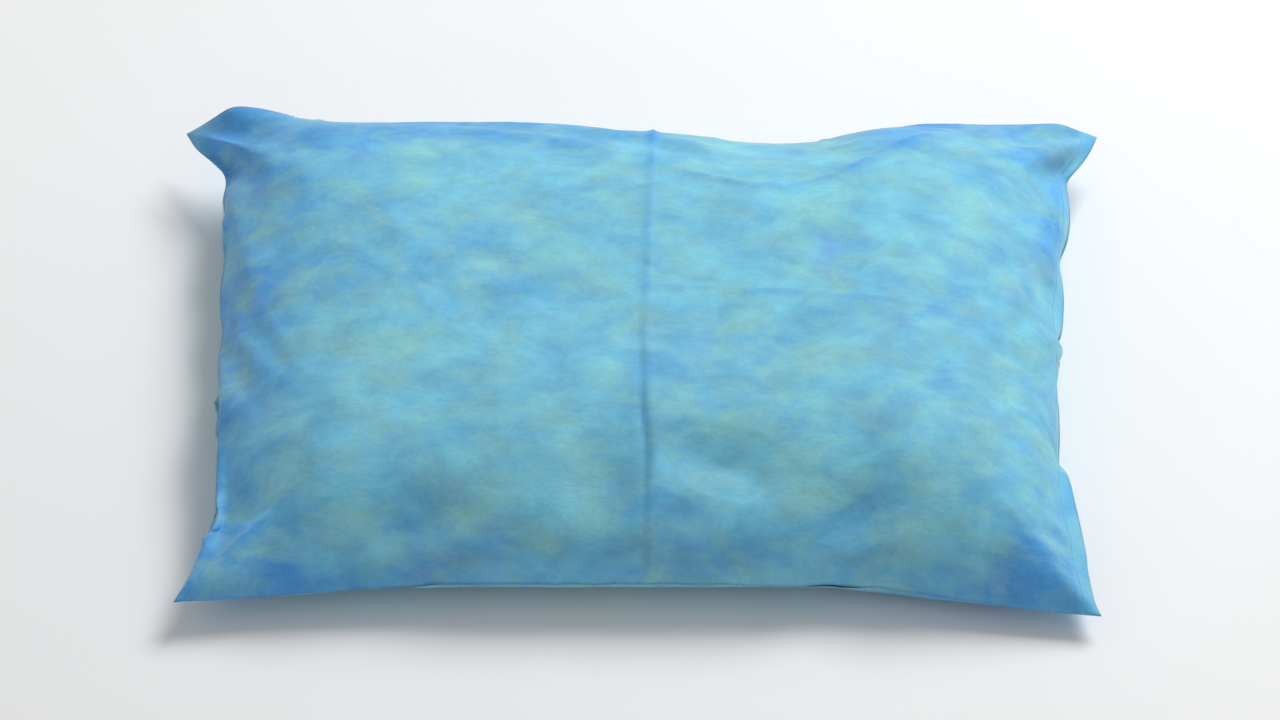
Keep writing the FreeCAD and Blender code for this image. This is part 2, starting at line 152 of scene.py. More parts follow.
# Where the drape's small wrinkles are smoothed away, on the flat sheet.
Calm = namedtuple("Calm", "u v reach share")
CALMS = (
    Calm(-0.270, 0.120, 0.110, 1.0),
    Calm(-0.200, 0.000, 0.080, 0.7),
    Calm(0.300, 0.130, 0.070, 0.7),
)

# ---- Settings ---------------------------------------------------------------------------------------


def length_setting(name, description, default):
    return bpy.props.FloatProperty(name=name, description=description, default=default, unit="LENGTH")


def share_setting(name, description, default):
    return bpy.props.FloatProperty(
        name=name, description=description, default=default, min=0.0, max=1.0, subtype="FACTOR"
    )


def colour_setting(name, description, default):
    return bpy.props.FloatVectorProperty(
        name=name, description=description, default=default, size=3, subtype="COLOR", min=0.0, max=1.0
    )


class PillowSettings(bpy.types.PropertyGroup):
    """The stuffed pillow."""

    roll: length_setting("Crown roll", "How far in from the edge the crown levels out", 0.150)
    dome: share_setting("Dome", "How much lower the stuffing is towards the corners", 0.05)
    corner_power: bpy.props.FloatProperty(
        name="Corner power", description="How square the corners are in plan", default=5.0, min=2.0
    )
    lump: length_setting("Lumps", "Depth of the unevenness of the stuffing", 1.6 * MM)
    pucker: length_setting("Puckers", "Depth of the puckers along the seam", 0.5 * MM)
    wall: length_setting("Ticking", "Thickness of the ticking", 0.7 * MM)
    ticking_colour: colour_setting("Ticking colour", "Colour of the ticking", (0.83, 0.83, 0.80))
    thread_colour: colour_setting("Thread colour", "Colour of the seam's thread", (0.86, 0.86, 0.84))


class CaseSettings(bpy.types.PropertyGroup):
    """The disposable case."""

    flat_length: length_setting("Flat length", "Length of the sheet as cut", 0.760)
    flat_width: length_setting("Flat width", "Width of the sheet as cut", 0.530)
    wall: length_setting("Sheet", "Thickness of the nonwoven sheet", 0.4 * MM)
    step: length_setting("Step", "Spacing of the simulated sheet's points", 6 * MM)
    mouth_gap: length_setting("Mouth gap", "Gap between the lips of the mouth", 3 * MM)
    snug_upper: share_setting("Upper snugness", "How far the upper sheet is taken in over the pillow", 0.03)
    snug_lower: share_setting("Lower snugness", "How far the lower sheet is taken in under the pillow", 0.07)
    corner_free: length_setting("Loose corner", "Reach from a corner within which nothing is taken in", 0.06)
    corner_snug: length_setting("Snug beyond", "Reach from a corner beyond which the case is snug", 0.22)
    bending: bpy.props.FloatProperty(
        name="Bending", description="Bending stiffness of the sheet", default=0.7
    )
    weight: share_setting("Weight", "Share of gravity that acts on the light sheet", 0.1)
    emptied: share_setting("Emptied", "Share of its height that the case keeps once it is empty", 0.08)
    # painted light: the paler colour where the white ticking sends light back through the sheet
    touching_lit_through: colour_setting("Touching", "Colour where the sheet lies on the ticking", (0.185, 0.570, 0.73))
    # painted shade: the deeper, darker blue where the sheet stands off the ticking
    standing_off_shaded: colour_setting("Standing off", "Colour where it stands off the ticking", (0.075, 0.355, 0.76))
    thin: colour_setting("Thin places", "Greener tint where the web is thin", (0.285, 0.600, 0.540))
    shaded: colour_setting("Loose places", "Bluer tint in loose patches", (0.170, 0.400, 0.780))
    thread_colour: colour_setting("Thread colour", "Colour of the case's thread", (0.12, 0.36, 0.60))


class StageSettings(bpy.types.PropertyGroup):
    """Camera, floor and light."""

    elevation: bpy.props.FloatProperty(
        name="Elevation", description="Camera above the horizon", default=math.radians(49), subtype="ANGLE"
    )
    lens: bpy.props.FloatProperty(name="Lens", description="Focal length", default=600, unit="CAMERA")
    view_width: length_setting("View width", "How much of the object's plane the view is across", 1.024)
    target_height: length_setting("Aim", "Height of the point that the camera looks at", 0.040)
    floor_colour: colour_setting("Floor", "Colour of the floor", (0.93, 0.93, 0.93))
    key_power: bpy.props.FloatProperty(
        name="Key", description="Power of the soft light above and behind", default=118, unit="POWER"
    )
    sky: bpy.props.FloatProperty(name="Sky", description="Strength of the even light", default=0.41)


def pillow_settings():
    return bpy.context.scene.pillow_settings


def case_settings():
    return bpy.context.scene.case_settings


def stage_settings():
    return bpy.context.scene.stage_settings


# ---- Mesh helpers -----------------------------------------------------------------------------------


def grid_faces(index, closed=False, flipped=False):
    """Quads between the rows of a grid of vertex numbers, closed round its second axis if asked."""
    if closed:
        index = np.concatenate([index, index[:, :1]], axis=1)
    quads = np.stack([index[:-1, :-1], index[1:, :-1], index[1:, 1:], index[:-1, 1:]], -1).reshape(-1, 4)
    return quads[:, ::-1] if flipped else quads


def mesh_object(name, points, faces):
    """A smooth mesh object at the origin."""
    mesh = bpy.data.meshes.new(name)
    mesh.from_pydata(np.asarray(points).reshape(-1, 3).tolist(), [], np.asarray(faces).tolist())
    mesh.update()
    mesh.shade_smooth()
    piece = bpy.data.objects.new(name, mesh)
    bpy.context.scene.collection.objects.link(piece)
    return piece


def finished(piece, body, slot, material, *nodes):
    """Gives a piece its body and finish, and hides the CAD nodes that it stands for."""
    piece.data.materials.clear()
    piece.data.materials.append(material)
    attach(piece, body)
    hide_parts(*nodes)
    return piece


def remove(*objects):
    for thing in objects:
        bpy.data.objects.remove(thing, do_unlink=True)


def give_thickness(piece, wall, offset):
    shell = piece.modifiers.new("Wall", "SOLIDIFY")
    shell.thickness = wall
    shell.offset = offset
    shell.use_even_offset = False
    shell.use_rim = True


def unit(vectors):
    return vectors / np.maximum(np.linalg.norm(vectors, axis=-1, keepdims=True), 1e-12)


def grid_normals(grid):
    """Unit normals of a grid of points, on the side that sees its two axes turn counterclockwise."""
    return unit(np.cross(np.gradient(grid, axis=0), np.gradient(grid, axis=1)))


def noise_at(points, scale, seed):
    """Smooth noise from about -1 to 1 at points, whose features are about scale across."""
    flat = np.asarray(points, float).reshape(-1, np.shape(points)[-1])
    if flat.shape[1] == 2:
        flat = np.concatenate([flat, np.zeros((len(flat), 1))], axis=1)
    shift = Vector((seed * 7.31, seed * 3.17, seed * 5.53))
    found = [noise.noise(Vector(p) / scale + shift) for p in flat]
    return np.array(found).reshape(np.shape(points)[:-1])


def smoothstep(low, high, value):
    share = np.clip((value - low) / (high - low), 0, 1)
    return share * share * (3 - 2 * share)


# ---- The pillow's form ------------------------------------------------------------------------------

Form = namedtuple("Form", "x y up low edge")


def spaced(half, roll, middle_steps, roll_steps):
    """Places along one axis: even in the middle and closer together towards both edges."""
    middle = np.linspace(-1, 1, middle_steps + 1) * (half - roll)
    rolled = half - roll + roll * np.sin(np.arange(1, roll_steps + 1) / roll_steps * math.pi / 2)
    return np.concatenate([-rolled[::-1], middle, rolled])


def pillow_form(outset=0.0, crown=TICKING_TOP.z, base=TICKING_BASE.z, steps=(80, 36, 30)):
    """The stuffed pillow's form as a grid in plan with the height of its two faces above and below the
    seam. The grid is a rectangle whose corners are drawn in to a round, and edge is how near a point is
    to the outline: 1 there and 0 where the crown levels out."""
    shape = pillow_settings()
    roll = shape.roll + outset
    half = (TICKING_TOP.x + outset, TICKING_TOP.y + outset)
    xs = spaced(half[0], roll, steps[0], steps[2])
    ys = spaced(half[1], roll, steps[1], steps[2])
    x, y = np.meshgrid(xs, ys, indexing="ij")
    along = np.clip((np.abs(x) - (half[0] - roll)) / roll, 0, 1)
    across = np.clip((np.abs(y) - (half[1] - roll)) / roll, 0, 1)
    edge = np.maximum(along, across)
    power = shape.corner_power
    reach = np.maximum((along**power + across**power) ** (1 / power), 1e-9)
    draw = np.where(np.minimum(along, across) > 0, edge / reach, 1.0)
    x = np.where(along > 0, np.sign(x) * (half[0] - roll + roll * along * draw), x)
    y = np.where(across > 0, np.sign(y) * (half[1] - roll + roll * across * draw), y)
    dome = 1 - shape.dome * ((x / half[0]) ** 2 + (y / half[1]) ** 2) / 2
    up = (crown - SEAM_Z) * dome * np.sqrt(1 - np.clip(edge, 0, 1) ** 2)
    low = (SEAM_Z - base) * (1 - np.clip(edge, 0, 1) ** 3.6) ** 0.6
    return Form(x, y, np.maximum(up - hollows_at(x, y), 0), low, edge)


def hollows_at(x, y):
    """How deep the stuffing is pressed in at points of the plan."""
    depth = np.zeros(np.shape(x))
    for hollow in HOLLOWS:
        c, s = math.cos(math.radians(hollow.turn)), math.sin(math.radians(hollow.turn))
        along = ((x - hollow.x) * c + (y - hollow.y) * s) / hollow.reach_x
        across = ((y - hollow.y) * c - (x - hollow.x) * s) / hollow.reach_y
        depth += hollow.depth * np.exp(-(along**2) - across**2)
    return depth


def sewn_pair(name, x, y, up, low):
    """Two sheets over one grid in plan, up above the seam and low below it, joined round the rim."""
    top = np.arange(x.size).reshape(x.shape)
    inner = np.zeros(x.shape, bool)
    inner[1:-1, 1:-1] = True
    bottom = top.copy()
    bottom[inner] = x.size + np.arange(inner.sum())
    points = np.concatenate(
        [np.stack([x, y, SEAM_Z + up], -1).reshape(-1, 3), np.stack([x, y, SEAM_Z - low], -1)[inner]]
    )
    faces = np.concatenate([grid_faces(top), grid_faces(bottom, flipped=True)])
    return mesh_object(name, points, faces), top, bottom


def outline_path(outset, spacing):
    """The pillow's outline at the seam, counterclockwise from above, pushed out by outset, as points a
    spacing apart with their outward directions."""
    form = pillow_form()
    plan = np.stack([form.x, form.y], -1)
    loop = np.concatenate([plan[:-1, 0], plan[-1, :-1], plan[:0:-1, -1], plan[0, :0:-1]])
    gaps = np.linalg.norm(np.roll(loop, -1, axis=0) - loop, axis=1)
    travel = np.concatenate([[0], np.cumsum(gaps)])
    count = int(round(travel[-1] / spacing))
    at = np.linspace(0, travel[-1], count, endpoint=False)
    closed = np.concatenate([loop, loop[:1]])
    points = np.stack([np.interp(at, travel, closed[:, k]) for k in (0, 1)], -1)
    for _ in range(3):
        points = (np.roll(points, 1, axis=0) + 2 * points + np.roll(points, -1, axis=0)) / 4
    forward = unit(np.roll(points, -1, axis=0) - np.roll(points, 1, axis=0))
    outward = np.stack([forward[:, 1], -forward[:, 0]], -1)
    return points + outward * outset, outward


def swept(name, points, outward, profile, closed_profile):
    """A profile of (out, up) pairs swept round a closed path in the plane of the seam."""
    profile = np.asarray(profile)
    if profile.ndim == 2:
        profile = np.broadcast_to(profile, (len(points), *profile.shape))
    plan = points[:, None, :] + outward[:, None, :] * profile[..., :1]
    solid = np.concatenate([plan, SEAM_Z + profile[..., 1:]], axis=-1)
    index = np.arange(len(points) * profile.shape[1]).reshape(len(points), -1)
    index = np.concatenate([index, index[:1]])
    return mesh_object(name, solid, grid_faces(index, closed=closed_profile))


# ---- Materials --------------------------------------------------------------------------------------


class Board:
    """Lays out the nodes of one material."""

    def __init__(self, name):
        self.material = bpy.data.materials.new(name)
        self.material.use_nodes = True
        self.tree = self.material.node_tree
        self.shader = self.tree.nodes["Principled BSDF"]

    def add(self, kind, inputs=None, **properties):
        node = self.tree.nodes.new(kind)
        for key, value in properties.items():
            setattr(node, key, value)
        for key, value in (inputs or {}).items():
            self.feed(node.inputs[key], value)
        return node

    def feed(self, socket, value):
        """Links a socket to an output, or sets it to a constant."""
        if isinstance(value, bpy.types.NodeSocket):
            self.tree.links.new(value, socket)
        else:
            socket.default_value = value

    def place(self, scale=(1, 1, 1), turn=0.0, sheet=False):
        """A vector in the object's own metres, or in the flat sheet's, stretched by scale."""
        if sheet:
            source = self.add("ShaderNodeUVMap", uv_map="sheet").outputs["UV"]
        else:
            source = self.add("ShaderNodeTexCoord").outputs["Object"]
        inputs = {"Vector": source, "Scale": scale, "Rotation": (0, 0, turn)}
        return self.add("ShaderNodeMapping", inputs).outputs["Vector"]

    def noise(self, vector, scale, detail=2.0, roughness=0.5, distortion=0.0):
        inputs = {
            "Vector": vector,
            "Scale": scale,
            "Detail": detail,
            "Roughness": roughness,
            "Distortion": distortion,
        }
        return self.add("ShaderNodeTexNoise", inputs).outputs["Fac"]

    def between(self, value, low, high, out_low=0.0, out_high=1.0):
        inputs = {"Value": value, "From Min": low, "From Max": high, "To Min": out_low, "To Max": out_high}
        return self.add("ShaderNodeMapRange", inputs, clamp=True).outputs["Result"]

    def maths(self, operation, first, second=0.0):
        node = self.add("ShaderNodeMath", operation=operation)
        self.feed(node.inputs[0], first)
        self.feed(node.inputs[1], second)
        return node.outputs[0]

    def mix(self, factor, first, second, blend="MIX"):
        node = self.add("ShaderNodeMix", data_type="RGBA", blend_type=blend)
        colours = [s for s in node.inputs if s.type == "RGBA"]
        self.feed(node.inputs["Factor"], factor)
        for socket, value in zip(colours, (first, second)):
            whole = value if isinstance(value, bpy.types.NodeSocket) else (*value[:3], 1.0)
            self.feed(socket, whole)
        return next(s for s in node.outputs if s.type == "RGBA")

    def attribute(self, name):
        return self.add("ShaderNodeAttribute", attribute_name=name).outputs["Fac"]

    def weave(self, vector, pitch):
        """Plain weave: threads over and under each other, a pitch apart."""
        waves = []
        for direction in ("X", "Y"):
            wave = self.add(
                "ShaderNodeTexWave",
                {"Vector": vector, "Scale": 1 / (pitch * 3.2), "Distortion": 0.6, "Detail": 1.0},
                bands_direction=direction,
            )
            waves.append(wave.outputs["Fac"])
        return self.maths("MULTIPLY", *waves)

    def bump(self, height, distance, strength=1.0, normal=None):
        inputs = {"Height": height, "Distance": distance, "Strength": strength}
        if normal is not None:
            inputs["Normal"] = normal
        return self.add("ShaderNodeBump", inputs).outputs["Normal"]

    def finish(self, colour, roughness, normal=None, **constants):
        """Feeds the shader. Constants go straight on its own sockets."""
        self.feed(self.shader.inputs["Base Color"], colour)
        self.feed(self.shader.inputs["Roughness"], roughness)
        if normal is not None:
            self.feed(self.shader.inputs["Normal"], normal)
        for key, value in constants.items():
            self.shader.inputs[key.replace("_", " ")].default_value = value
        return self.material


def tinted(colour, factor):
    return tuple(min(1.0, c * factor) for c in colour)


def nonwoven():
    """Spunbond: thin, cloudy and streaked along the machine direction. Where it lies on the white ticking it
    is painted pale and greenish, as painted light that the ticking sends back through it, and where it
    stands off at folds, seams and corners it is a deeper, darker blue, as painted shade. Pressed-in folds
    are darkened further with painted shade."""
    case = case_settings()
    board = Board("spunbond_nonwoven")
    flat = board.place((1.0, 1.5, 1.0), sheet=True)
    broad = board.between(board.noise(flat, 7, 3.0, 0.55, 0.5), 0.3, 0.7, -0.5, 0.5)
    cloud = board.between(board.noise(flat, 20, 6.0, 0.66, 0.3), 0.28, 0.72, -0.5, 0.5)
    strands = board.noise(board.place((190, 400, 1), sheet=True), 1.0, 4.0, 0.7)
    web = board.between(strands, 0.28, 0.72, -0.5, 0.5)
    # painted light and shade, with random mottle added: how far the sheet stands off picks between the paler
    # colour of light sent back through it by the white ticking and the darker blue of painted shade
    away = board.maths("ADD", board.attribute("stand_off_shade"), board.maths("MULTIPLY", broad, 0.80))
    away = board.maths("ADD", away, board.maths("MULTIPLY", cloud, 0.70))
    away = board.maths("ADD", away, board.maths("MULTIPLY", web, 0.42))
    base = board.mix(board.between(away, -0.35, 1.10), case.touching_lit_through, case.standing_off_shaded)
    green = board.noise(board.place((1.0, 1.5, 1.0), 0.35, sheet=True), 17, 5.0, 0.66, 0.3)
    warm = board.mix(board.between(green, 0.42, 0.66, 0.0, 0.62), base, case.thin)
    violet = board.noise(board.place((1.0, 1.5, 1.0), -0.5, sheet=True), 9, 4.0, 0.6, 0.8)
    cool = board.mix(board.between(violet, 0.60, 0.74, 0.0, 0.55), warm, case.shaded)
    fibres = board.maths("SUBTRACT", board.maths("MULTIPLY", web, 0.5), board.maths("MULTIPLY", cloud, 0.75))
    shade = board.add("ShaderNodeVectorMath", {0: cool}, operation="SCALE")
    board.feed(shade.inputs["Scale"], board.between(fibres, -0.6, 0.6, 0.74, 1.24))
    # painted shade: pressed-in folds are darkened towards a deep blue
    creased = board.maths("MULTIPLY", board.attribute("crease_shade"), 0.5)
    pressed = board.mix(creased, shade.outputs["Vector"], CREASE_SHADE_COLOUR)
    doubled_hem = board.maths("MULTIPLY", board.attribute("hem"), 0.35)
    hemmed = board.mix(doubled_hem, pressed, tinted(case.touching_lit_through, 1.15))
    place = board.place(sheet=True)
    cells = board.add("ShaderNodeTexVoronoi", {"Vector": place, "Scale": 620, "Randomness": 0.35})
    bonds = cells.outputs["Distance"]
    normal = board.bump(bonds, 0.09 * MM, 0.5)
    normal = board.bump(web, 0.10 * MM, 0.6, normal)
    normal = board.bump(cloud, 0.7 * MM, 0.5, normal)
    return board.finish(
        hemmed,
        board.between(web, -0.4, 0.4, 0.62, 0.76),
        normal,
        Sheen_Weight=0.2,
        Sheen_Roughness=0.5,
        Specular_IOR_Level=0.3,
    )


def spun_thread(name, colour):
    """Spun polyester thread: fine twist and a little sheen."""
    board = Board(name)
    twist = board.noise(board.place((1.0, 1.0, 2.2)), 2600, 2.0)
    tone = board.mix(board.between(twist, 0.3, 0.7), tinted(colour, 0.72), tinted(colour, 1.12))
    return board.finish(tone, 0.62, board.bump(twist, 0.12 * MM), Sheen_Weight=0.3)


def plain_weave(name, colour, pitch, turn=0.0):
    """Plain-woven cotton blend, with uneven yarns and faint darker blotches."""
    board = Board(name)
    place = board.place(turn=turn)
    weave = board.weave(place, pitch)
    slub = board.noise(board.place((70, 900, 70), turn), 1.0, 2.0)
    soil = board.noise(place, 9, 3.0, 0.5)
    tone = board.mix(board.between(weave, 0.0, 1.0), tinted(colour, 0.86), tinted(colour, 1.04))
    tone = board.mix(board.between(soil, 0.35, 0.7, 0.0, 0.25), tone, (0.80, 0.78, 0.72))
    tone = board.mix(board.between(slub, 0.4, 0.75, 0.0, 0.22), tone, tinted(colour, 0.9))
    normal = board.bump(weave, 0.16 * MM, 0.7)
    normal = board.bump(slub, 0.15 * MM, 0.5, normal)
    return board.finish(tone, 0.82, normal, Sheen_Weight=0.2, Specular_IOR_Level=0.25)


def satin_tape(name, colour):
    """The care label's blank tape: close ribs across it and a soft gloss."""
    board = Board(name)
    ribs = board.add(
        "ShaderNodeTexWave", {"Vector": board.place(), "Scale": 480, "Distortion": 0.4}, bands_direction="Z"
    ).outputs["Fac"]
    tone = board.mix(board.between(ribs, 0, 1), tinted(colour, 0.9), colour)
    return board.finish(tone, 0.42, board.bump(ribs, 0.06 * MM), Specular_IOR_Level=0.5)


def cotton_cord(name):
    board = Board(name)
    fuzz = board.noise(board.place(), 1800, 3.0)
    tone = board.mix(board.between(fuzz, 0.3, 0.7), (0.62, 0.60, 0.54), (0.80, 0.78, 0.72))
    return board.finish(tone, 0.9, board.bump(fuzz, 0.2 * MM), Sheen_Weight=0.3)


def loose_fibre(name):
    """Tangled hollow fibre, packed in soft tufts."""
    board = Board(name)
    tuft = board.noise(board.place(), 60, 4.0, 0.6, 1.2)
    strand = board.noise(board.place((260, 900, 500)), 1.0, 3.0, 0.7, 2.0)
    tone = board.mix(board.between(tuft, 0.3, 0.7), (0.76, 0.77, 0.78), (0.93, 0.93, 0.93))
    tone = board.mix(board.between(strand, 0.35, 0.7, 0.0, 0.3), tone, (0.68, 0.69, 0.70))
    normal = board.bump(strand, 0.5 * MM, 0.7, board.bump(tuft, 4 * MM, 0.6))
    return board.finish(tone, 0.95, normal, Sheen_Weight=0.5, Specular_IOR_Level=0.1)


def studio_floor(colour):
    board = Board("studio_floor")
    cloud = board.noise(board.place(), 3.0, 2.0)
    tone = board.mix(board.between(cloud, 0.3, 0.7), tinted(colour, 0.985), colour)
    return board.finish(tone, 0.9, Specular_IOR_Level=0.1)


# ---- Stitches by geometry nodes ---------------------------------------------------------------------


class Tree:
    """Builds one geometry node group with named inputs."""

    def __init__(self, name, **sizes):
        self.group = bpy.data.node_groups.new(name, "GeometryNodeTree")
        face = self.group.interface
        face.new_socket("Geometry", in_out="INPUT", socket_type="NodeSocketGeometry")
        self.identifiers = {}
        for label, default in sizes.items():
            socket = face.new_socket(label.replace("_", " "), in_out="INPUT", socket_type="NodeSocketFloat")
            socket.default_value = default
            self.identifiers[label] = socket.identifier
        socket = face.new_socket("Material", in_out="INPUT", socket_type="NodeSocketMaterial")
        self.identifiers["Material"] = socket.identifier
        face.new_socket("Geometry", in_out="OUTPUT", socket_type="NodeSocketGeometry")
        self.source = self.group.nodes.new("NodeGroupInput")

    def add(self, kind, inputs=None, **properties):
        node = self.group.nodes.new(kind)
        for key, value in properties.items():
            setattr(node, key, value)
        for key, value in (inputs or {}).items():
            if isinstance(value, bpy.types.NodeSocket):
                self.group.links.new(value, node.inputs[key])
            else:
                node.inputs[key].default_value = value
        return node

    def size(self, label):
        return self.source.outputs[label.replace("_", " ")]

    def maths(self, operation, first, second):
        return self.add("ShaderNodeMath", {0: first, 1: second}, operation=operation).outputs[0]

    def vector(self, x, y, z):
        return self.add("ShaderNodeCombineXYZ", {"X": x, "Y": y, "Z": z}).outputs[0]

    def along_path(self, instance, pitch, seed):
        """Puts the instance every pitch along the path, turned with it, and gives it the material."""
        path = self.source.outputs["Geometry"]
        upright = self.add("GeometryNodeSetCurveNormal", {"Curve": path}, mode="Z_UP")
        points = self.add(
            "GeometryNodeCurveToPoints", {"Curve": upright.outputs["Curve"], "Length": pitch}, mode="LENGTH"
        )
        uneven = self.add("FunctionNodeRandomValue", {"Seed": seed}, data_type="FLOAT")
        low, high = [s for s in uneven.inputs if s.type == "VALUE" and s.enabled][:2]
        low.default_value, high.default_value = 0.92, 1.08
        value = next(s for s in uneven.outputs if s.type == "VALUE" and s.enabled)
        placed = self.add(
            "GeometryNodeInstanceOnPoints",
            {
                "Points": points.outputs["Points"],
                "Instance": instance,
                "Rotation": points.outputs["Rotation"],
                "Scale": value,
            },
        )
        real = self.add("GeometryNodeRealizeInstances", {"Geometry": placed.outputs["Instances"]})
        painted = self.add(
            "GeometryNodeSetMaterial",
            {"Geometry": real.outputs["Geometry"], "Material": self.size("Material")},
        )
        end = self.group.nodes.new("NodeGroupOutput")
        self.group.links.new(painted.outputs["Geometry"], end.inputs[0])
        return self

    def run(self, name, path, cyclic, material, **sizes):
        """The group's result along a path of points, as a plain mesh object."""
        curve = bpy.data.curves.new(name, "CURVE")
        curve.dimensions = "3D"
        spline = curve.splines.new("POLY")
        spline.points.add(len(path) - 1)
        spline.points.foreach_set("co", np.concatenate([path, np.ones((len(path), 1))], 1).ravel())
        spline.use_cyclic_u = cyclic
        holder = bpy.data.objects.new(name + "_path", curve)
        bpy.context.scene.collection.objects.link(holder)
        modifier = holder.modifiers.new("Stitches", "NODES")
        modifier.node_group = self.group
        modifier[self.identifiers["Material"]] = material
        for label, value in sizes.items():
            modifier[self.identifiers[label]] = value
        seen = holder.evaluated_get(bpy.context.evaluated_depsgraph_get())
        mesh = bpy.data.meshes.new_from_object(seen)
        remove(holder)
        mesh.name = name
        piece = bpy.data.objects.new(name, mesh)
        bpy.context.scene.collection.objects.link(piece)
        return piece


def lockstitch_tree():
    """Short rounded stitches end to end."""
    tree = Tree("Lockstitches", Pitch=3 * MM, Stitch_length=2.6 * MM, Thread_radius=0.3 * MM)
    ball = tree.add("GeometryNodeMeshUVSphere", {"Segments": 6, "Rings": 5, "Radius": 1.0})
    radius = tree.size("Thread_radius")
    half = tree.maths("MULTIPLY", tree.size("Stitch_length"), 0.5)
    shape = tree.add(
        "GeometryNodeTransform",
        {"Geometry": ball.outputs["Mesh"], "Scale": tree.vector(radius, radius, half)},
    )
    return tree.along_path(shape.outputs["Geometry"], tree.size("Pitch"), 3)


def overlock_tree():
    """Slanting loops of thread wrapped round the sewn edge."""
    sizes = {"Pitch": 2.6, "Loop_half_width": 2.2, "Loop_radius": 0.6, "Thread_radius": 0.2}
    tree = Tree("Overlock", **{name: size * MM for name, size in sizes.items()})
    ring = tree.add("GeometryNodeCurvePrimitiveCircle", {"Resolution": 12, "Radius": 1.0})
    shaped = tree.add(
        "GeometryNodeTransform",
        {
            "Geometry": ring.outputs["Curve"],
            "Scale": tree.vector(tree.size("Loop_half_width"), tree.size("Loop_radius"), 1.0),
        },
    )
    slanted = tree.add(
        "GeometryNodeTransform",
        {"Geometry": shaped.outputs["Geometry"], "Rotation": (0.0, math.radians(24), 0.0)},
    )
    strand = tree.add(
        "GeometryNodeCurvePrimitiveCircle", {"Resolution": 5, "Radius": tree.size("Thread_radius")}
    )
    loop = tree.add(
        "GeometryNodeCurveToMesh",
        {"Curve": slanted.outputs["Geometry"], "Profile Curve": strand.outputs["Curve"]},
    )
    return tree.along_path(loop.outputs["Mesh"], tree.size("Pitch"), 5)


# ---- The pillow's pieces ----------------------------------------------------------------------------


def rim_travel(form):
    """How far round the pillow each point of the form lies, seen from its middle."""
    angle = np.arctan2(form.y / TICKING_TOP.y, form.x / TICKING_TOP.x)
    return angle * (TICKING_TOP.x + TICKING_TOP.y) * 0.75


def ticking_panel(name, node, side):
    """One face of the ticking: uneven stuffing behind it, and puckers where it meets the seam."""
    shape = pillow_settings()
    form = pillow_form()
    height = form.up if side > 0 else form.low
    points = np.stack([form.x, form.y, SEAM_Z + side * (WALL_GAP + height)], -1)
    normals = grid_normals(points) * side
    plan = points[..., :2]
    lumps = (noise_at(plan, 0.09, 1 + side) + 0.5 * noise_at(plan, 0.035, 4 + side)) - 0.8
    near_seam = np.exp(-((1 - form.edge) * shape.roll) / 0.016)
    travel = rim_travel(form)
    ripple = np.sin(travel / 0.0105 * 2 * math.pi + 2.0 * noise_at(plan, 0.05, 9)) - 1
    away = np.clip(1 - form.edge**12, 0, 1)
    depth = shape.lump * lumps * away * (1 if side > 0 else 0.3) + shape.pucker * ripple * near_seam * away
    points = points + normals * np.minimum(depth, 0)[..., None]
    points[..., 2] = np.maximum(points[..., 2], TICKING_BASE.z)
    index = np.arange(points[..., 0].size).reshape(points.shape[:2])
    piece = mesh_object(name, points, grid_faces(index, flipped=side < 0))
    give_thickness(piece, shape.wall, -1)
    return finished(
        piece, MASS_BODY, "ticking", plain_weave(name + "_weave", shape.ticking_colour, 0.9 * MM), node
    )


class PILLOW_OT_ticking(bpy.types.Operator):
    """Makes the upper and the lower panel of the pillow's ticking"""

    bl_idname = "pillow.ticking"
    bl_label = "Ticking panels"

    def execute(self, context):
        for name, side in (("ticking_upper", 1), ("ticking_lower", -1)):
            ticking_panel(name, name + "_panel", side)
        return {"FINISHED"}


class PILLOW_OT_welt(bpy.types.Operator):
    """Makes the corded welt round the pillow: a folded tape and the cord inside it"""

    bl_idname = "pillow.welt"
    bl_label = "Welt and cord"

    def execute(self, context):
        shape = pillow_settings()
        tape = 0.3 * MM
        middle = WELT_RADIUS - tape / 2
        inner_edge = -(WELT_OUTSET + 6.5 * MM)
        points, outward = outline_path(WELT_OUTSET, 2.2 * MM)
        turns = np.radians(np.linspace(170, -170, 19))
        fold = [(middle * math.cos(a), middle * math.sin(a)) for a in turns]
        layer = tape / 2 + 0.02 * MM
        neck = -middle - 1 * MM
        profile = [(inner_edge, layer), (neck, layer), *fold, (neck, -layer), (inner_edge, -layer)]
        cover = swept("welt_tape", points, outward, profile, False)
        give_thickness(cover, tape, 0)
        weave = plain_weave("bias_tape", shape.ticking_colour, 0.8 * MM, math.radians(45))
        finished(cover, MASS_BODY, "welt_tape", weave, "welt_cover")
        points, outward = outline_path(WELT_OUTSET, 1.6 * MM)
        strands, pitch = 3, 9 * MM
        sides = np.arange(12) / 12 * 2 * math.pi
        twist = np.arange(len(points)) * 1.6 * MM / pitch * 2 * math.pi
        lobes = 1 + 0.16 * np.cos(strands * (sides[None, :] - twist[:, None] / strands))
        radius = (CORD_RADIUS - 0.25 * MM) * lobes / 1.16
        rope = np.stack([radius * np.cos(-sides), radius * np.sin(-sides)], -1)
        cord = swept("welt_core", points, outward, rope, True)
        finished(cord, MASS_BODY, "cord", cotton_cord("cotton_cord"), "welt_cord")
        return {"FINISHED"}


class PILLOW_OT_seam_threads(bpy.types.Operator):
    """Makes the lockstitches that close the ticking's seam, above and below it"""

    bl_idname = "pillow.seam_threads"
    bl_label = "Ticking seam threads"

    def execute(self, context):
        tree = lockstitch_tree()
        material = spun_thread("ticking_thread", pillow_settings().thread_colour)
        plan, _ = outline_path(-NEEDLE_INSET, 3 * MM)
        threads = (("needle_thread", NEEDLE_LOW, NEEDLE_HIGH), ("bobbin_thread", BOBBIN_LOW, BOBBIN_HIGH))
        for name, low, high in threads:
            path = np.concatenate([plan, np.full((len(plan), 1), (low.z + high.z) / 2)], axis=1)
            piece = tree.run(name + "_stitches", path, True, material, Thread_radius=THREAD_RADIUS * 0.8)
            finished(piece, MASS_BODY, "ticking_thread", material, name)
        return {"FINISHED"}


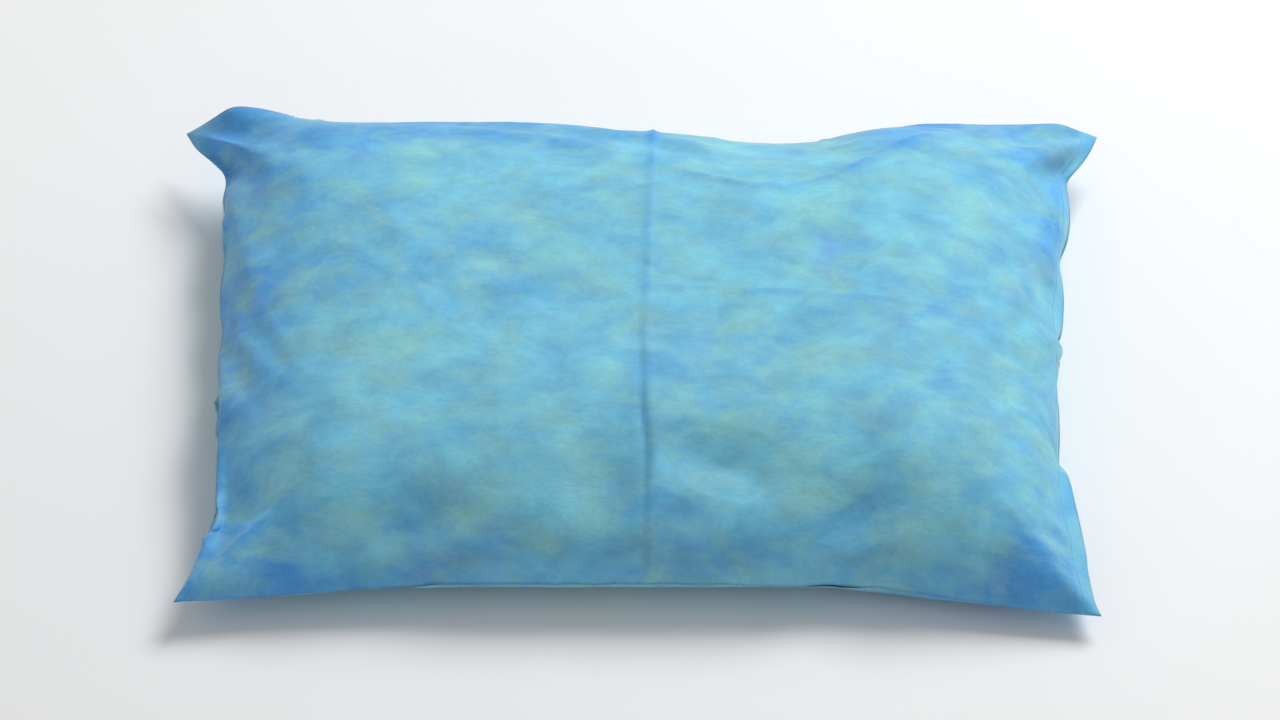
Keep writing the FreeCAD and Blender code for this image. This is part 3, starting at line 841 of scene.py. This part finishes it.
class PILLOW_OT_label(bpy.types.Operator):
    """Makes the blank care label that stands up out of the seam"""

    bl_idname = "pillow.label"
    bl_label = "Care label"

    def execute(self, context):
        lean = np.linspace(0, 1, 9)
        across = np.linspace(LABEL_LOW.y, LABEL_HIGH.y, 13)
        height = LABEL_LOW.z + lean * (LABEL_HIGH.z - LABEL_LOW.z) * 0.55
        middle = (LABEL_LOW.x + LABEL_HIGH.x) / 2
        y, z = np.meshgrid(across, height, indexing="ij")
        curl = 0.5 * MM * np.sin((y - LABEL_LOW.y) / (LABEL_HIGH.y - LABEL_LOW.y) * math.pi)
        share = (z - height[0]) / (height[-1] - height[0])
        x = middle + curl * share - 1.2 * MM * share**2
        index = np.arange(x.size).reshape(x.shape)
        piece = mesh_object("label_tape", np.stack([x, y, z], -1), grid_faces(index))
        give_thickness(piece, 0.25 * MM, 0)
        finished(piece, MASS_BODY, "label", satin_tape("label_satin", (0.88, 0.88, 0.86)), "care_label")
        return {"FINISHED"}


class PILLOW_OT_fill(bpy.types.Operator):
    """Makes the loose fibre that fills the ticking"""

    bl_idname = "pillow.fill"
    bl_label = "Fibre fill"

    def execute(self, context):
        inset = FILL_HIGH.x - TICKING_TOP.x
        form = pillow_form(outset=4 * inset, crown=FILL_HIGH.z, base=FILL_LOW.z, steps=(70, 32, 26))
        away = np.clip(1 - form.edge**10, 0, 1)
        plan = np.stack([form.x, form.y], -1)
        uneven = noise_at(plan, 0.03, 21) + 0.6 * noise_at(plan, 0.012, 22) - 1.2
        tufts = np.minimum(2.5 * MM * uneven, 0) * away
        piece, _, _ = sewn_pair(
            "fibre_tufts",
            form.x,
            form.y,
            np.maximum(form.up + tufts - 1.5 * MM * away, 0),
            np.maximum(form.low + 0.5 * tufts, 0),
        )
        finished(piece, MASS_BODY, "fibre", loose_fibre("hollow_fibre"), "fibre_fill")
        return {"FINISHED"}


# ---- The case ---------------------------------------------------------------------------------------

GROWTH_FRAMES = 20  # while the pillow swells inside the bag
SETTLE_FRAMES = 14  # while the bag settles on it
COLLIDER_GAP = 2.0 * MM  # how far the cloth settles from the stuffing
BASE_ROOM = 2.5 * MM  # under the stuffing while the case is draped
CLEARANCE = 1.0 * MM  # from the stuffing to the outside of a sheet that is pressed against it
CLEAR_REACH = 25.0 * MM  # the furthest that a sheet is moved to clear the stuffing
DRAW_STEPS = 30  # how often a place that was deep in the stuffing is smoothed
SETTLED = 0.9 * MM  # how far the lower sheet is pressed down to the floor


def flat_grid():
    """The flat sheet's points, from its middle."""
    case = case_settings()
    count = [round(size / case.step) + 1 for size in (case.flat_length, case.flat_width)]
    u = np.linspace(-case.flat_length / 2, case.flat_length / 2, count[0])
    v = np.linspace(-case.flat_width / 2, case.flat_width / 2, count[1])
    return np.meshgrid(u, v, indexing="ij")


def stuffing_collider(base=TICKING_BASE.z):
    """The pillow with its welt, as what the case is draped over."""
    form = pillow_form(outset=WELT_OUTSET + WELT_RADIUS, base=base, steps=(40, 18, 26))
    piece, _, _ = sewn_pair("stuffing_collider", form.x, form.y, form.up, form.low)
    return piece


def snugness(points, lower):
    """How far the sheet is taken in at its points: not at all near the corners."""
    case = case_settings()
    in_x = case.flat_length / 2 - np.abs(points[:, 0])
    in_y = case.flat_width / 2 - np.abs(points[:, 1])
    share = smoothstep(case.corner_free, case.corner_snug, np.hypot(in_x, in_y))
    return share * np.where(lower, 1.0, case.snug_upper / case.snug_lower)


def add_group(piece, name, weights):
    group = piece.vertex_groups.new(name=name)
    for number, weight in enumerate(weights):
        if weight > 0:
            group.add([number], float(weight), "REPLACE")


def draw_tips(bag, points):
    """Pins the bag's corners and moves them to their places while the pillow swells."""
    bag.shape_key_add(name="Flat")
    moved = bag.shape_key_add(name="Tips")
    held = np.zeros(len(points))
    for tip in TIPS:
        number = int(np.argmin(np.hypot(points[:, 0] - tip.u, points[:, 1] - tip.v)))
        moved.data[number].co = (tip.x, tip.y, tip.z)
        held[number] = 1
    add_group(bag, "held", held)
    for frame_number, value in ((1, 0.0), (GROWTH_FRAMES, 1.0)):
        moved.value = value
        moved.keyframe_insert("value", frame=frame_number)


def drape(bag):
    """Swells the pillow inside the sewn bag by cloth simulation and returns the bag's points."""
    scene = bpy.context.scene
    case = case_settings()
    points = np.array([v.co for v in bag.data.vertices], float)
    add_group(bag, "snug", snugness(points, points[:, 2] < SEAM_Z))
    draw_tips(bag, points)
    collider = stuffing_collider(TICKING_BASE.z + BASE_ROOM)
    collider.modifiers.new("Collision", "COLLISION")
    collider.collision.thickness_outer = COLLIDER_GAP / 4
    collider.collision.thickness_inner = 20 * MM
    collider.collision.cloth_friction = 1
    for vertex in collider.data.vertices:
        vertex.co.z -= SEAM_Z
    collider.location.z = SEAM_Z
    for frame_number, height in ((1, 0.12), (GROWTH_FRAMES, 1.0)):
        collider.scale = (1, 1, height)
        collider.keyframe_insert("scale", frame=frame_number)
    floor = mesh_object("floor_collider", [(-1, -1, 0), (1, -1, 0), (1, 1, 0), (-1, 1, 0)], [(0, 1, 2, 3)])
    floor.modifiers.new("Collision", "COLLISION")
    floor.collision.thickness_outer = COLLIDER_GAP / 4
    cloth = bag.modifiers.new("Cloth", "CLOTH")
    sheet = cloth.settings
    sheet.quality = 6
    sheet.mass = 0.05
    sheet.tension_stiffness = sheet.compression_stiffness = 30
    sheet.shear_stiffness = 15
    sheet.bending_stiffness = case.bending
    sheet.tension_damping = sheet.compression_damping = 15
    sheet.shear_damping = 10
    sheet.bending_damping = 2
    sheet.air_damping = 3
    sheet.vertex_group_mass = "held"
    sheet.vertex_group_shrink = "snug"
    sheet.shrink_max = case.snug_lower
    sheet.effector_weights.gravity = case.weight
    cloth.collision_settings.collision_quality = 3
    cloth.collision_settings.distance_min = COLLIDER_GAP * 3 / 4
    cloth.collision_settings.use_self_collision = False
    last = GROWTH_FRAMES + SETTLE_FRAMES
    cloth.point_cache.frame_start = 1
    cloth.point_cache.frame_end = last + 1
    for frame_number in range(1, last + 1):
        scene.frame_set(frame_number)
    seen = bag.evaluated_get(bpy.context.evaluated_depsgraph_get())
    mesh = bpy.data.meshes.new_from_object(seen)
    points = np.array([v.co for v in mesh.vertices], float)
    bag.modifiers.clear()
    bpy.data.meshes.remove(mesh)
    scene.frame_set(1)
    remove(collider, floor)
    return points


def draped_sheets():
    """The case's two sheets over the pillow, as grids of points."""
    case = case_settings()
    u, v = flat_grid()
    in_x = np.clip((case.flat_length / 2 - np.abs(u)) / 0.05, 0, 1)
    in_y = np.clip((case.flat_width / 2 - np.abs(v)) / 0.05, 0, 1)
    puff = 16 * MM * np.sqrt(np.sin(in_x * math.pi / 2) * np.sin(in_y * math.pi / 2))
    bag, top, bottom = sewn_pair("bag", u, v, puff, 0.5 * puff)
    points = drape(bag)
    remove(bag)
    return points[top], points[bottom]


def relaxed(grid, share):
    """The grid with each point drawn a share of the way to its neighbours' middle, rim along the rim."""
    share = np.broadcast_to(share, (*grid.shape[:2], 1))
    out = grid.copy()
    middle = (grid[:-2, 1:-1] + grid[2:, 1:-1] + grid[1:-1, :-2] + grid[1:-1, 2:]) / 4
    out[1:-1, 1:-1] += share[1:-1, 1:-1] * (middle - grid[1:-1, 1:-1])
    for rim in ((slice(None), 0), (slice(None), -1), (0, slice(None)), (-1, slice(None))):
        line = grid[rim]
        out[rim][1:-1] += share[rim][1:-1] * ((line[:-2] + line[2:]) / 2 - line[1:-1])
    return out


def doubled(grid, axis):
    """The grid with a point added midway between each two neighbours along axis, on a smooth curve."""
    rows = np.moveaxis(grid, axis, 0)
    longer = np.concatenate([2 * rows[:1] - rows[1:2], rows, 2 * rows[-1:] - rows[-2:-1]])
    middle = (9 * (longer[1:-2] + longer[2:-1]) - longer[:-3] - longer[3:]) / 16
    out = np.empty((2 * len(rows) - 1, *rows.shape[1:]))
    out[::2] = rows
    out[1::2] = middle
    return np.moveaxis(out, 0, axis)


def calmed(grid, u, v):
    """The grid with its small wrinkles smoothed away at CALMS."""
    share = np.zeros(u.shape)
    for calm in CALMS:
        off = ((u - calm.u) ** 2 + (v - calm.v) ** 2) / calm.reach**2
        share = np.maximum(share, calm.share * np.exp(-(off**2)))
    for _ in range(14):
        grid = relaxed(grid, 0.7 * share[..., None])
    return grid


def refined(grid):
    return doubled(doubled(grid, 0), 1)


def fold_height(u, v):
    """How far the packing folds stand off the sheet, at points of the flat sheet, and how near each point is
    to a fold that is pressed in, as a mask for the painted shade of the pressed-in folds."""
    height = np.zeros(u.shape)
    crease_shade = np.zeros(u.shape)
    for number, fold in enumerate(FOLDS):
        line = np.array(fold.points)
        legs = np.diff(line, axis=0)
        lengths = np.linalg.norm(legs, axis=1)
        nearest = np.full(u.shape, 1.0)
        along = np.zeros(u.shape)
        for start, leg, length, travel in zip(line, legs, lengths, np.cumsum(lengths) - lengths):
            share = np.clip(((u - start[0]) * leg[0] + (v - start[1]) * leg[1]) / length**2, 0, 1)
            away = np.hypot(u - start[0] - share * leg[0], v - start[1] - share * leg[1])
            along = np.where(away < nearest, travel + share * length, along)
            nearest = np.minimum(nearest, away)
        fade = smoothstep(-0.004, 0.016, along) * smoothstep(-0.004, 0.016, lengths.sum() - along)
        place = np.stack([along, np.full(u.shape, number * 0.7)], -1)
        uneven = 0.8 + 0.4 * noise_at(place, 0.028, 40 + number)
        width = fold.width * (1 + 0.3 * noise_at(place, 0.040, 45 + number))
        height += fold.height * fade * uneven * np.exp(-((nearest / width) ** 1.3))
        # mask for the painted shade of pressed-in folds
        if fold.height < 0:
            crease_shade += fade * uneven * np.exp(-((nearest / width) ** 2))
    return height, crease_shade


def pulled(grid, u, v):
    """The grid with the places of PULLS drawn aside."""
    out = grid.copy()
    for pull in PULLS:
        near = np.exp(-((u - pull.u) ** 2 + (v - pull.v) ** 2) / pull.reach**2)
        out += near[..., None] * np.array([pull.dx, pull.dy, pull.dz])
    return out


def crinkle(u, v, side):
    """The fine unevenness of a creased nonwoven sheet."""
    flat = np.stack([u, v], -1)
    broad = noise_at(flat, 0.045, 50 + side)
    ridged = 1 - 2 * np.abs(noise_at(flat, 0.026, 60 + side))
    return 0.35 * MM * broad + 0.22 * MM * ridged


def rim_distance(u, v):
    """How far in from the flat sheet's edge each point is, along each axis."""
    case = case_settings()
    return case.flat_length / 2 - np.abs(u), case.flat_width / 2 - np.abs(v)


def kept_apart(top, bottom, u, v):
    """Keeps the two sheets from passing through each other, with room for the overlocked edge."""
    in_x, in_y = rim_distance(u, v)
    inset = np.minimum(in_x, in_y)
    room = np.interp(inset, [0, 1.5 * MM, 4.5 * MM, 9 * MM], [0, 1.6 * MM, 2.4 * MM, 1.2 * MM])
    normal = grid_normals((top + bottom) / 2)
    gap = ((top - bottom) * normal).sum(-1)
    short = np.maximum(room - gap, 0)[..., None] * normal / 2
    return top + short, bottom - short


def stand_off_and_shaded_parts(u, v, folds):
    """Where else the upper sheet stands off and takes the painted stand-off shade: along the folds, the
    closed end, which is also painted darker for the light that comes from the mouth's end, the near side and
    the near corner of the mouth."""
    case = case_settings()
    # painted shade at the closed end, partly for the sheet's stand-off there and partly for the light that
    # comes from the mouth's end
    closed_end_shade = smoothstep(0.17, 0.02, case.flat_length / 2 + u)
    near_side = smoothstep(0.055, 0.012, case.flat_width / 2 + v) * smoothstep(0.30, 0.12, u)
    mouth_corner = smoothstep(0.14, 0.03, np.hypot(case.flat_length / 2 - u, case.flat_width / 2 + v))
    return np.abs(folds) / (3.2 * MM) + 0.55 * closed_end_shade + 0.45 * near_side + 0.15 * mouth_corner


def open_mouth(top, bottom, u, v):
    """Parts the two lips at the mouth, which waver a little."""
    case = case_settings()
    in_x = case.flat_length / 2 - u
    in_y = case.flat_width / 2 - np.abs(v)
    near = np.exp(-in_x / 0.012) * smoothstep(0.030, 0.090, in_y)
    waver = noise_at(np.stack([v, np.zeros(v.shape)], -1), 0.06, 70)
    part = near * case.mouth_gap / 2
    top, bottom = top.copy(), bottom.copy()
    top[..., 2] += part * (1 + 0.6 * waver)
    bottom[..., 2] -= part * (1 - 0.6 * waver)
    top[..., 0] -= near * 1.0 * MM * (1 + waver)
    return top, bottom


def stuffing_tree():
    """A search tree of the draped-over form."""
    collider = stuffing_collider()
    tree = BVHTree.FromPolygons(
        [v.co for v in collider.data.vertices], [p.vertices for p in collider.data.polygons]
    )
    remove(collider)
    return tree


def distances(grid, tree):
    return np.array([tree.find_nearest(Vector(p))[3] for p in grid.reshape(-1, 3)]).reshape(grid.shape[:2])


def pressed_in(top, tree, share):
    """The upper sheet pressed down into the hollows of the stuffing that it bridges."""
    spare = np.maximum(distances(top, tree) - COLLIDER_GAP, 0)
    hollow = hollows_at(top[..., 0], top[..., 1])
    near = smoothstep(0.5 * MM, 3 * MM, hollow)
    return top - grid_normals(top) * (share * near * np.minimum(spare, hollow))[..., None]


def cleared(grid, tree):
    """The sheet moved out to where it just clears the stuffing and its welt."""
    out = grid.copy()
    for index in np.ndindex(grid.shape[:2]):
        place, normal, _, away = tree.find_nearest(Vector(grid[index]))
        if away > CLEAR_REACH:
            continue
        short = CLEARANCE - (Vector(grid[index]) - place).dot(normal)
        if short > 0:
            out[index] += np.array(normal) * min(short, CLEAR_REACH)
    return out


def drawn_out(grid, tree):
    """The sheet cleared of the stuffing, with the places that were deep in it smoothed over."""
    out = cleared(grid, tree)
    deep = smoothstep(3 * MM, 6 * MM, np.linalg.norm(out - grid, axis=-1))[..., None]
    for _ in range(6):
        deep = relaxed(deep, 1.0)
    inner = np.pad(np.ones((grid.shape[0] - 2, grid.shape[1] - 2, 1)), ((1, 1), (1, 1), (0, 0)))
    share = inner * smoothstep(0.02, 0.15, deep)
    for _ in range(DRAW_STEPS):
        out = cleared(out + share * (relaxed(out, 1.0) - out), tree)
    return np.where(inner > 0, out, grid)


def sheet_piece(name, node, grid, u, v, side, material, tree, loose, crease_shade):
    """One sheet of the case as a piece, with its flat place as UVs and how it stands off the ticking, which
    sets its painted light and shade, and a mask for the painted shade of its pressed-in folds.
    """
    case = case_settings()
    index = np.arange(u.size).reshape(u.shape)
    piece = mesh_object(name, grid, grid_faces(index, flipped=side < 0))
    mesh = piece.data
    flat = np.stack([u, v if side > 0 else v + case.flat_width * 1.5], -1).reshape(-1, 2)
    layer = mesh.uv_layers.new(name="sheet")
    corners = np.empty(len(mesh.loops), np.int64)
    mesh.loops.foreach_get("vertex_index", corners)
    layer.uv.foreach_set("vector", flat[corners].ravel())
    away = distances(grid, tree).ravel()
    # painted light and shade: the gap to the ticking, plus the painted shade of the loose places, is kept
    # for the colour of the sheet
    stand_off_shade = smoothstep(COLLIDER_GAP + 0.8 * MM, COLLIDER_GAP + 11 * MM, away) + loose.ravel()
    hem = smoothstep(HEM_WIDTH + 0.8 * MM, HEM_WIDTH - 0.8 * MM, case.flat_length / 2 - u)
    for kind, values in {"stand_off_shade": stand_off_shade, "crease_shade": crease_shade, "hem": hem}.items():
        layer = mesh.attributes.new(kind, "FLOAT", "POINT")
        layer.data.foreach_set("value", values.ravel().astype(np.float32))
    give_thickness(piece, case.wall, -1)
    finished(piece, BAG_BODY, "nonwoven", material, node)
    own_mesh(piece)
    return piece


SHEETS = {}


class PILLOW_OT_case_sheets(bpy.types.Operator):
    """Drapes the case's upper and lower sheet over the pillow and works in the folds, hem and seams"""

    bl_idname = "pillow.case_sheets"
    bl_label = "Case sheets"

    def execute(self, context):
        top, bottom = draped_sheets()
        u, v = flat_grid()
        for _ in range(3):
            top, bottom = relaxed(top, 0.5), relaxed(bottom, 0.5)
        top = calmed(top, u, v)
        tree = stuffing_tree()
        bottom = drawn_out(bottom, tree)
        u, v, top, bottom = refined(u), refined(v), refined(top), refined(bottom)
        top, bottom = pulled(top, u, v), pulled(bottom, u, v)
        top = pressed_in(top, tree, 0.9)
        top, bottom = open_mouth(top, bottom, u, v)
        in_x, in_y = rim_distance(u, v)
        calm = smoothstep(0, 8 * MM, np.minimum(in_x, in_y))
        near_seam = np.exp(-np.minimum(in_y, np.where(u < 0, in_x, 1)) / 0.010)
        puckers = 0.45 * MM * noise_at(np.stack([u, v], -1), 0.007, 80) * near_seam
        from_mouth = case_settings().flat_length / 2 - u
        hem_step = 0.25 * MM * smoothstep(HEM_WIDTH + 1 * MM, HEM_WIDTH - 1 * MM, from_mouth)
        # the second result masks the painted shade of the pressed-in folds
        folds, crease_shade = fold_height(u, v)
        relief = crinkle(u, v, 1) * calm + folds + puckers + hem_step
        top = top + grid_normals(top) * relief[..., None]
        relief = crinkle(u, v, -1) * calm + puckers + hem_step
        bottom = bottom - grid_normals(bottom) * relief[..., None] * 0.6
        top, bottom = kept_apart(cleared(top, tree), cleared(bottom, tree), u, v)
        top[..., 2] = np.maximum(top[..., 2], 0.9 * MM)
        bottom[..., 2] -= SETTLED * smoothstep(0, 60 * MM, np.minimum(in_x, in_y))
        bottom[..., 2] = np.maximum(bottom[..., 2], 0.1 * MM)
        material = nonwoven()
        plain = np.zeros(u.shape)
        # more painted stand-off shade on the upper sheet: along the folds, at the closed end, the near side
        # and the mouth's near corner
        loose = stand_off_and_shaded_parts(u, v, folds)
        sheet_piece("case_upper_sheet", "case_upper_panel", top, u, v, 1, material, tree, loose, crease_shade)
        sheet_piece("case_lower_sheet", "case_lower_panel", bottom, u, v, -1, material, tree, plain, plain)
        SHEETS.update(top=top, bottom=bottom, u=u, v=v)
        return {"FINISHED"}


class PILLOW_OT_case_seams(bpy.types.Operator):
    """Wraps the case's two long sides and its closed end with overlock thread, inside the edge"""

    bl_idname = "pillow.case_seams"
    bl_label = "Overlocked seams"

    def execute(self, context):
        tree = overlock_tree()
        material = spun_thread("overlock_thread", case_settings().thread_colour)
        middle = (SHEETS["top"] + SHEETS["bottom"]) / 2
        margin = 5
        paths = {
            "case_front_seam": middle[margin:-margin, 1],
            "case_back_seam": middle[margin:-margin, -2],
            "case_end_seam": middle[1, margin:-margin],
        }
        for node, path in paths.items():
            piece = tree.run(node + "_thread", path, False, material, Loop_radius=OVERLOCK_RADIUS * 0.7)
            finished(piece, BAG_BODY, "case_thread", material, node)
            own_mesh(piece)
        return {"FINISHED"}


class PILLOW_OT_case_hem(bpy.types.Operator):
    """Sews the hem of each lip of the mouth"""

    bl_idname = "pillow.case_hem"
    bl_label = "Hem stitches"

    def execute(self, context):
        case = case_settings()
        tree = lockstitch_tree()
        material = spun_thread("hem_thread", case.thread_colour)
        row = int(np.argmin(np.abs(SHEETS["u"][:, 0] - (case.flat_length / 2 - HEM_WIDTH + 2 * MM))))
        margin = 4
        radius = 0.22 * MM
        for node, sheet, side in (("upper_hem_stitches", "top", 1), ("lower_hem_stitches", "bottom", -1)):
            grid = SHEETS[sheet]
            out = grid_normals(grid)[row] * side
            path = (grid[row] + out * (0.4 * radius))[margin:-margin]
            piece = tree.run(
                node + "_row", path, False, material, Thread_radius=radius, Stitch_length=2.5 * MM
            )
            finished(piece, BAG_BODY, "case_thread", material, node)
            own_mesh(piece)
        return {"FINISHED"}


# ---- The stage --------------------------------------------------------------------------------------


def soft_light(name, place, size, power):
    """A square soft light that faces the pillow."""
    lamp = bpy.data.lights.new(name, "AREA")
    lamp.energy = power
    lamp.size = size
    light = bpy.data.objects.new(name, lamp)
    light.location = place
    light.rotation_euler = (-Vector(place)).to_track_quat("-Z", "Y").to_euler()
    bpy.context.scene.collection.objects.link(light)


class PILLOW_OT_stage(bpy.types.Operator):
    """Makes the camera, the pale floor and the soft studio light"""

    bl_idname = "pillow.stage"
    bl_label = "Camera, floor and light"

    def execute(self, context):
        stage = stage_settings()
        scene = context.scene
        camera = bpy.data.objects.new("camera", bpy.data.cameras.new("camera"))
        scene.collection.objects.link(camera)
        camera.data.lens = stage.lens
        away = stage.view_width * stage.lens / camera.data.sensor_width
        back = Vector((0, -math.cos(stage.elevation), math.sin(stage.elevation)))
        camera.location = Vector((0, 0, stage.target_height)) + back * away
        camera.rotation_euler = (math.pi / 2 - stage.elevation, 0, 0)
        camera.data.clip_end = 10 * away
        scene.camera = camera
        reach = 60.0
        corners = [(-reach, -reach, 0), (reach, -reach, 0), (reach, reach, 0), (-reach, reach, 0)]
        floor = mesh_object("floor", corners, [(0, 1, 2, 3)])
        floor.data.materials.append(studio_floor(stage.floor_colour))
        world = bpy.data.worlds.new("studio")
        world.use_nodes = True
        world.node_tree.nodes["Background"].inputs["Color"].default_value = (0.97, 0.985, 1.0, 1.0)
        world.node_tree.nodes["Background"].inputs["Strength"].default_value = stage.sky
        scene.world = world
        soft_light("key_light", (1.6, 2.0, 3.0), 1.8, stage.key_power)
        scene.view_settings.view_transform = "Standard"
        return {"FINISHED"}


# ---- Add-on -----------------------------------------------------------------------------------------

STEPS = (
    PILLOW_OT_stage,
    PILLOW_OT_ticking,
    PILLOW_OT_welt,
    PILLOW_OT_seam_threads,
    PILLOW_OT_label,
    PILLOW_OT_fill,
    PILLOW_OT_case_sheets,
    PILLOW_OT_case_seams,
    PILLOW_OT_case_hem,
)


class VIEW3D_PT_pillow(bpy.types.Panel):
    """Lists the pillow's pieces and settings in the sidebar"""

    bl_idname = "VIEW3D_PT_pillow"
    bl_label = "Pillow in a case"
    bl_space_type = "VIEW_3D"
    bl_region_type = "UI"
    bl_category = "Pillow"

    def draw(self, context):
        for step in STEPS:
            self.layout.operator(step.bl_idname)
        scene = context.scene
        for group in (scene.pillow_settings, scene.case_settings, scene.stage_settings):
            box = self.layout.box()
            for key in group.__annotations__:
                box.prop(group, key)


CLASSES = (PillowSettings, CaseSettings, StageSettings, *STEPS, VIEW3D_PT_pillow)


def register():
    for made in CLASSES:
        bpy.utils.register_class(made)
    bpy.types.Scene.pillow_settings = bpy.props.PointerProperty(type=PillowSettings)
    bpy.types.Scene.case_settings = bpy.props.PointerProperty(type=CaseSettings)
    bpy.types.Scene.stage_settings = bpy.props.PointerProperty(type=StageSettings)


def unregister():
    for key in ("pillow_settings", "case_settings", "stage_settings"):
        delattr(bpy.types.Scene, key)
    for made in reversed(CLASSES):
        bpy.utils.unregister_class(made)


def main():
    register()
    for step in STEPS:
        group, name = step.bl_idname.split(".")
        getattr(getattr(bpy.ops, group), name)()


if __name__ == "__main__":
    main()
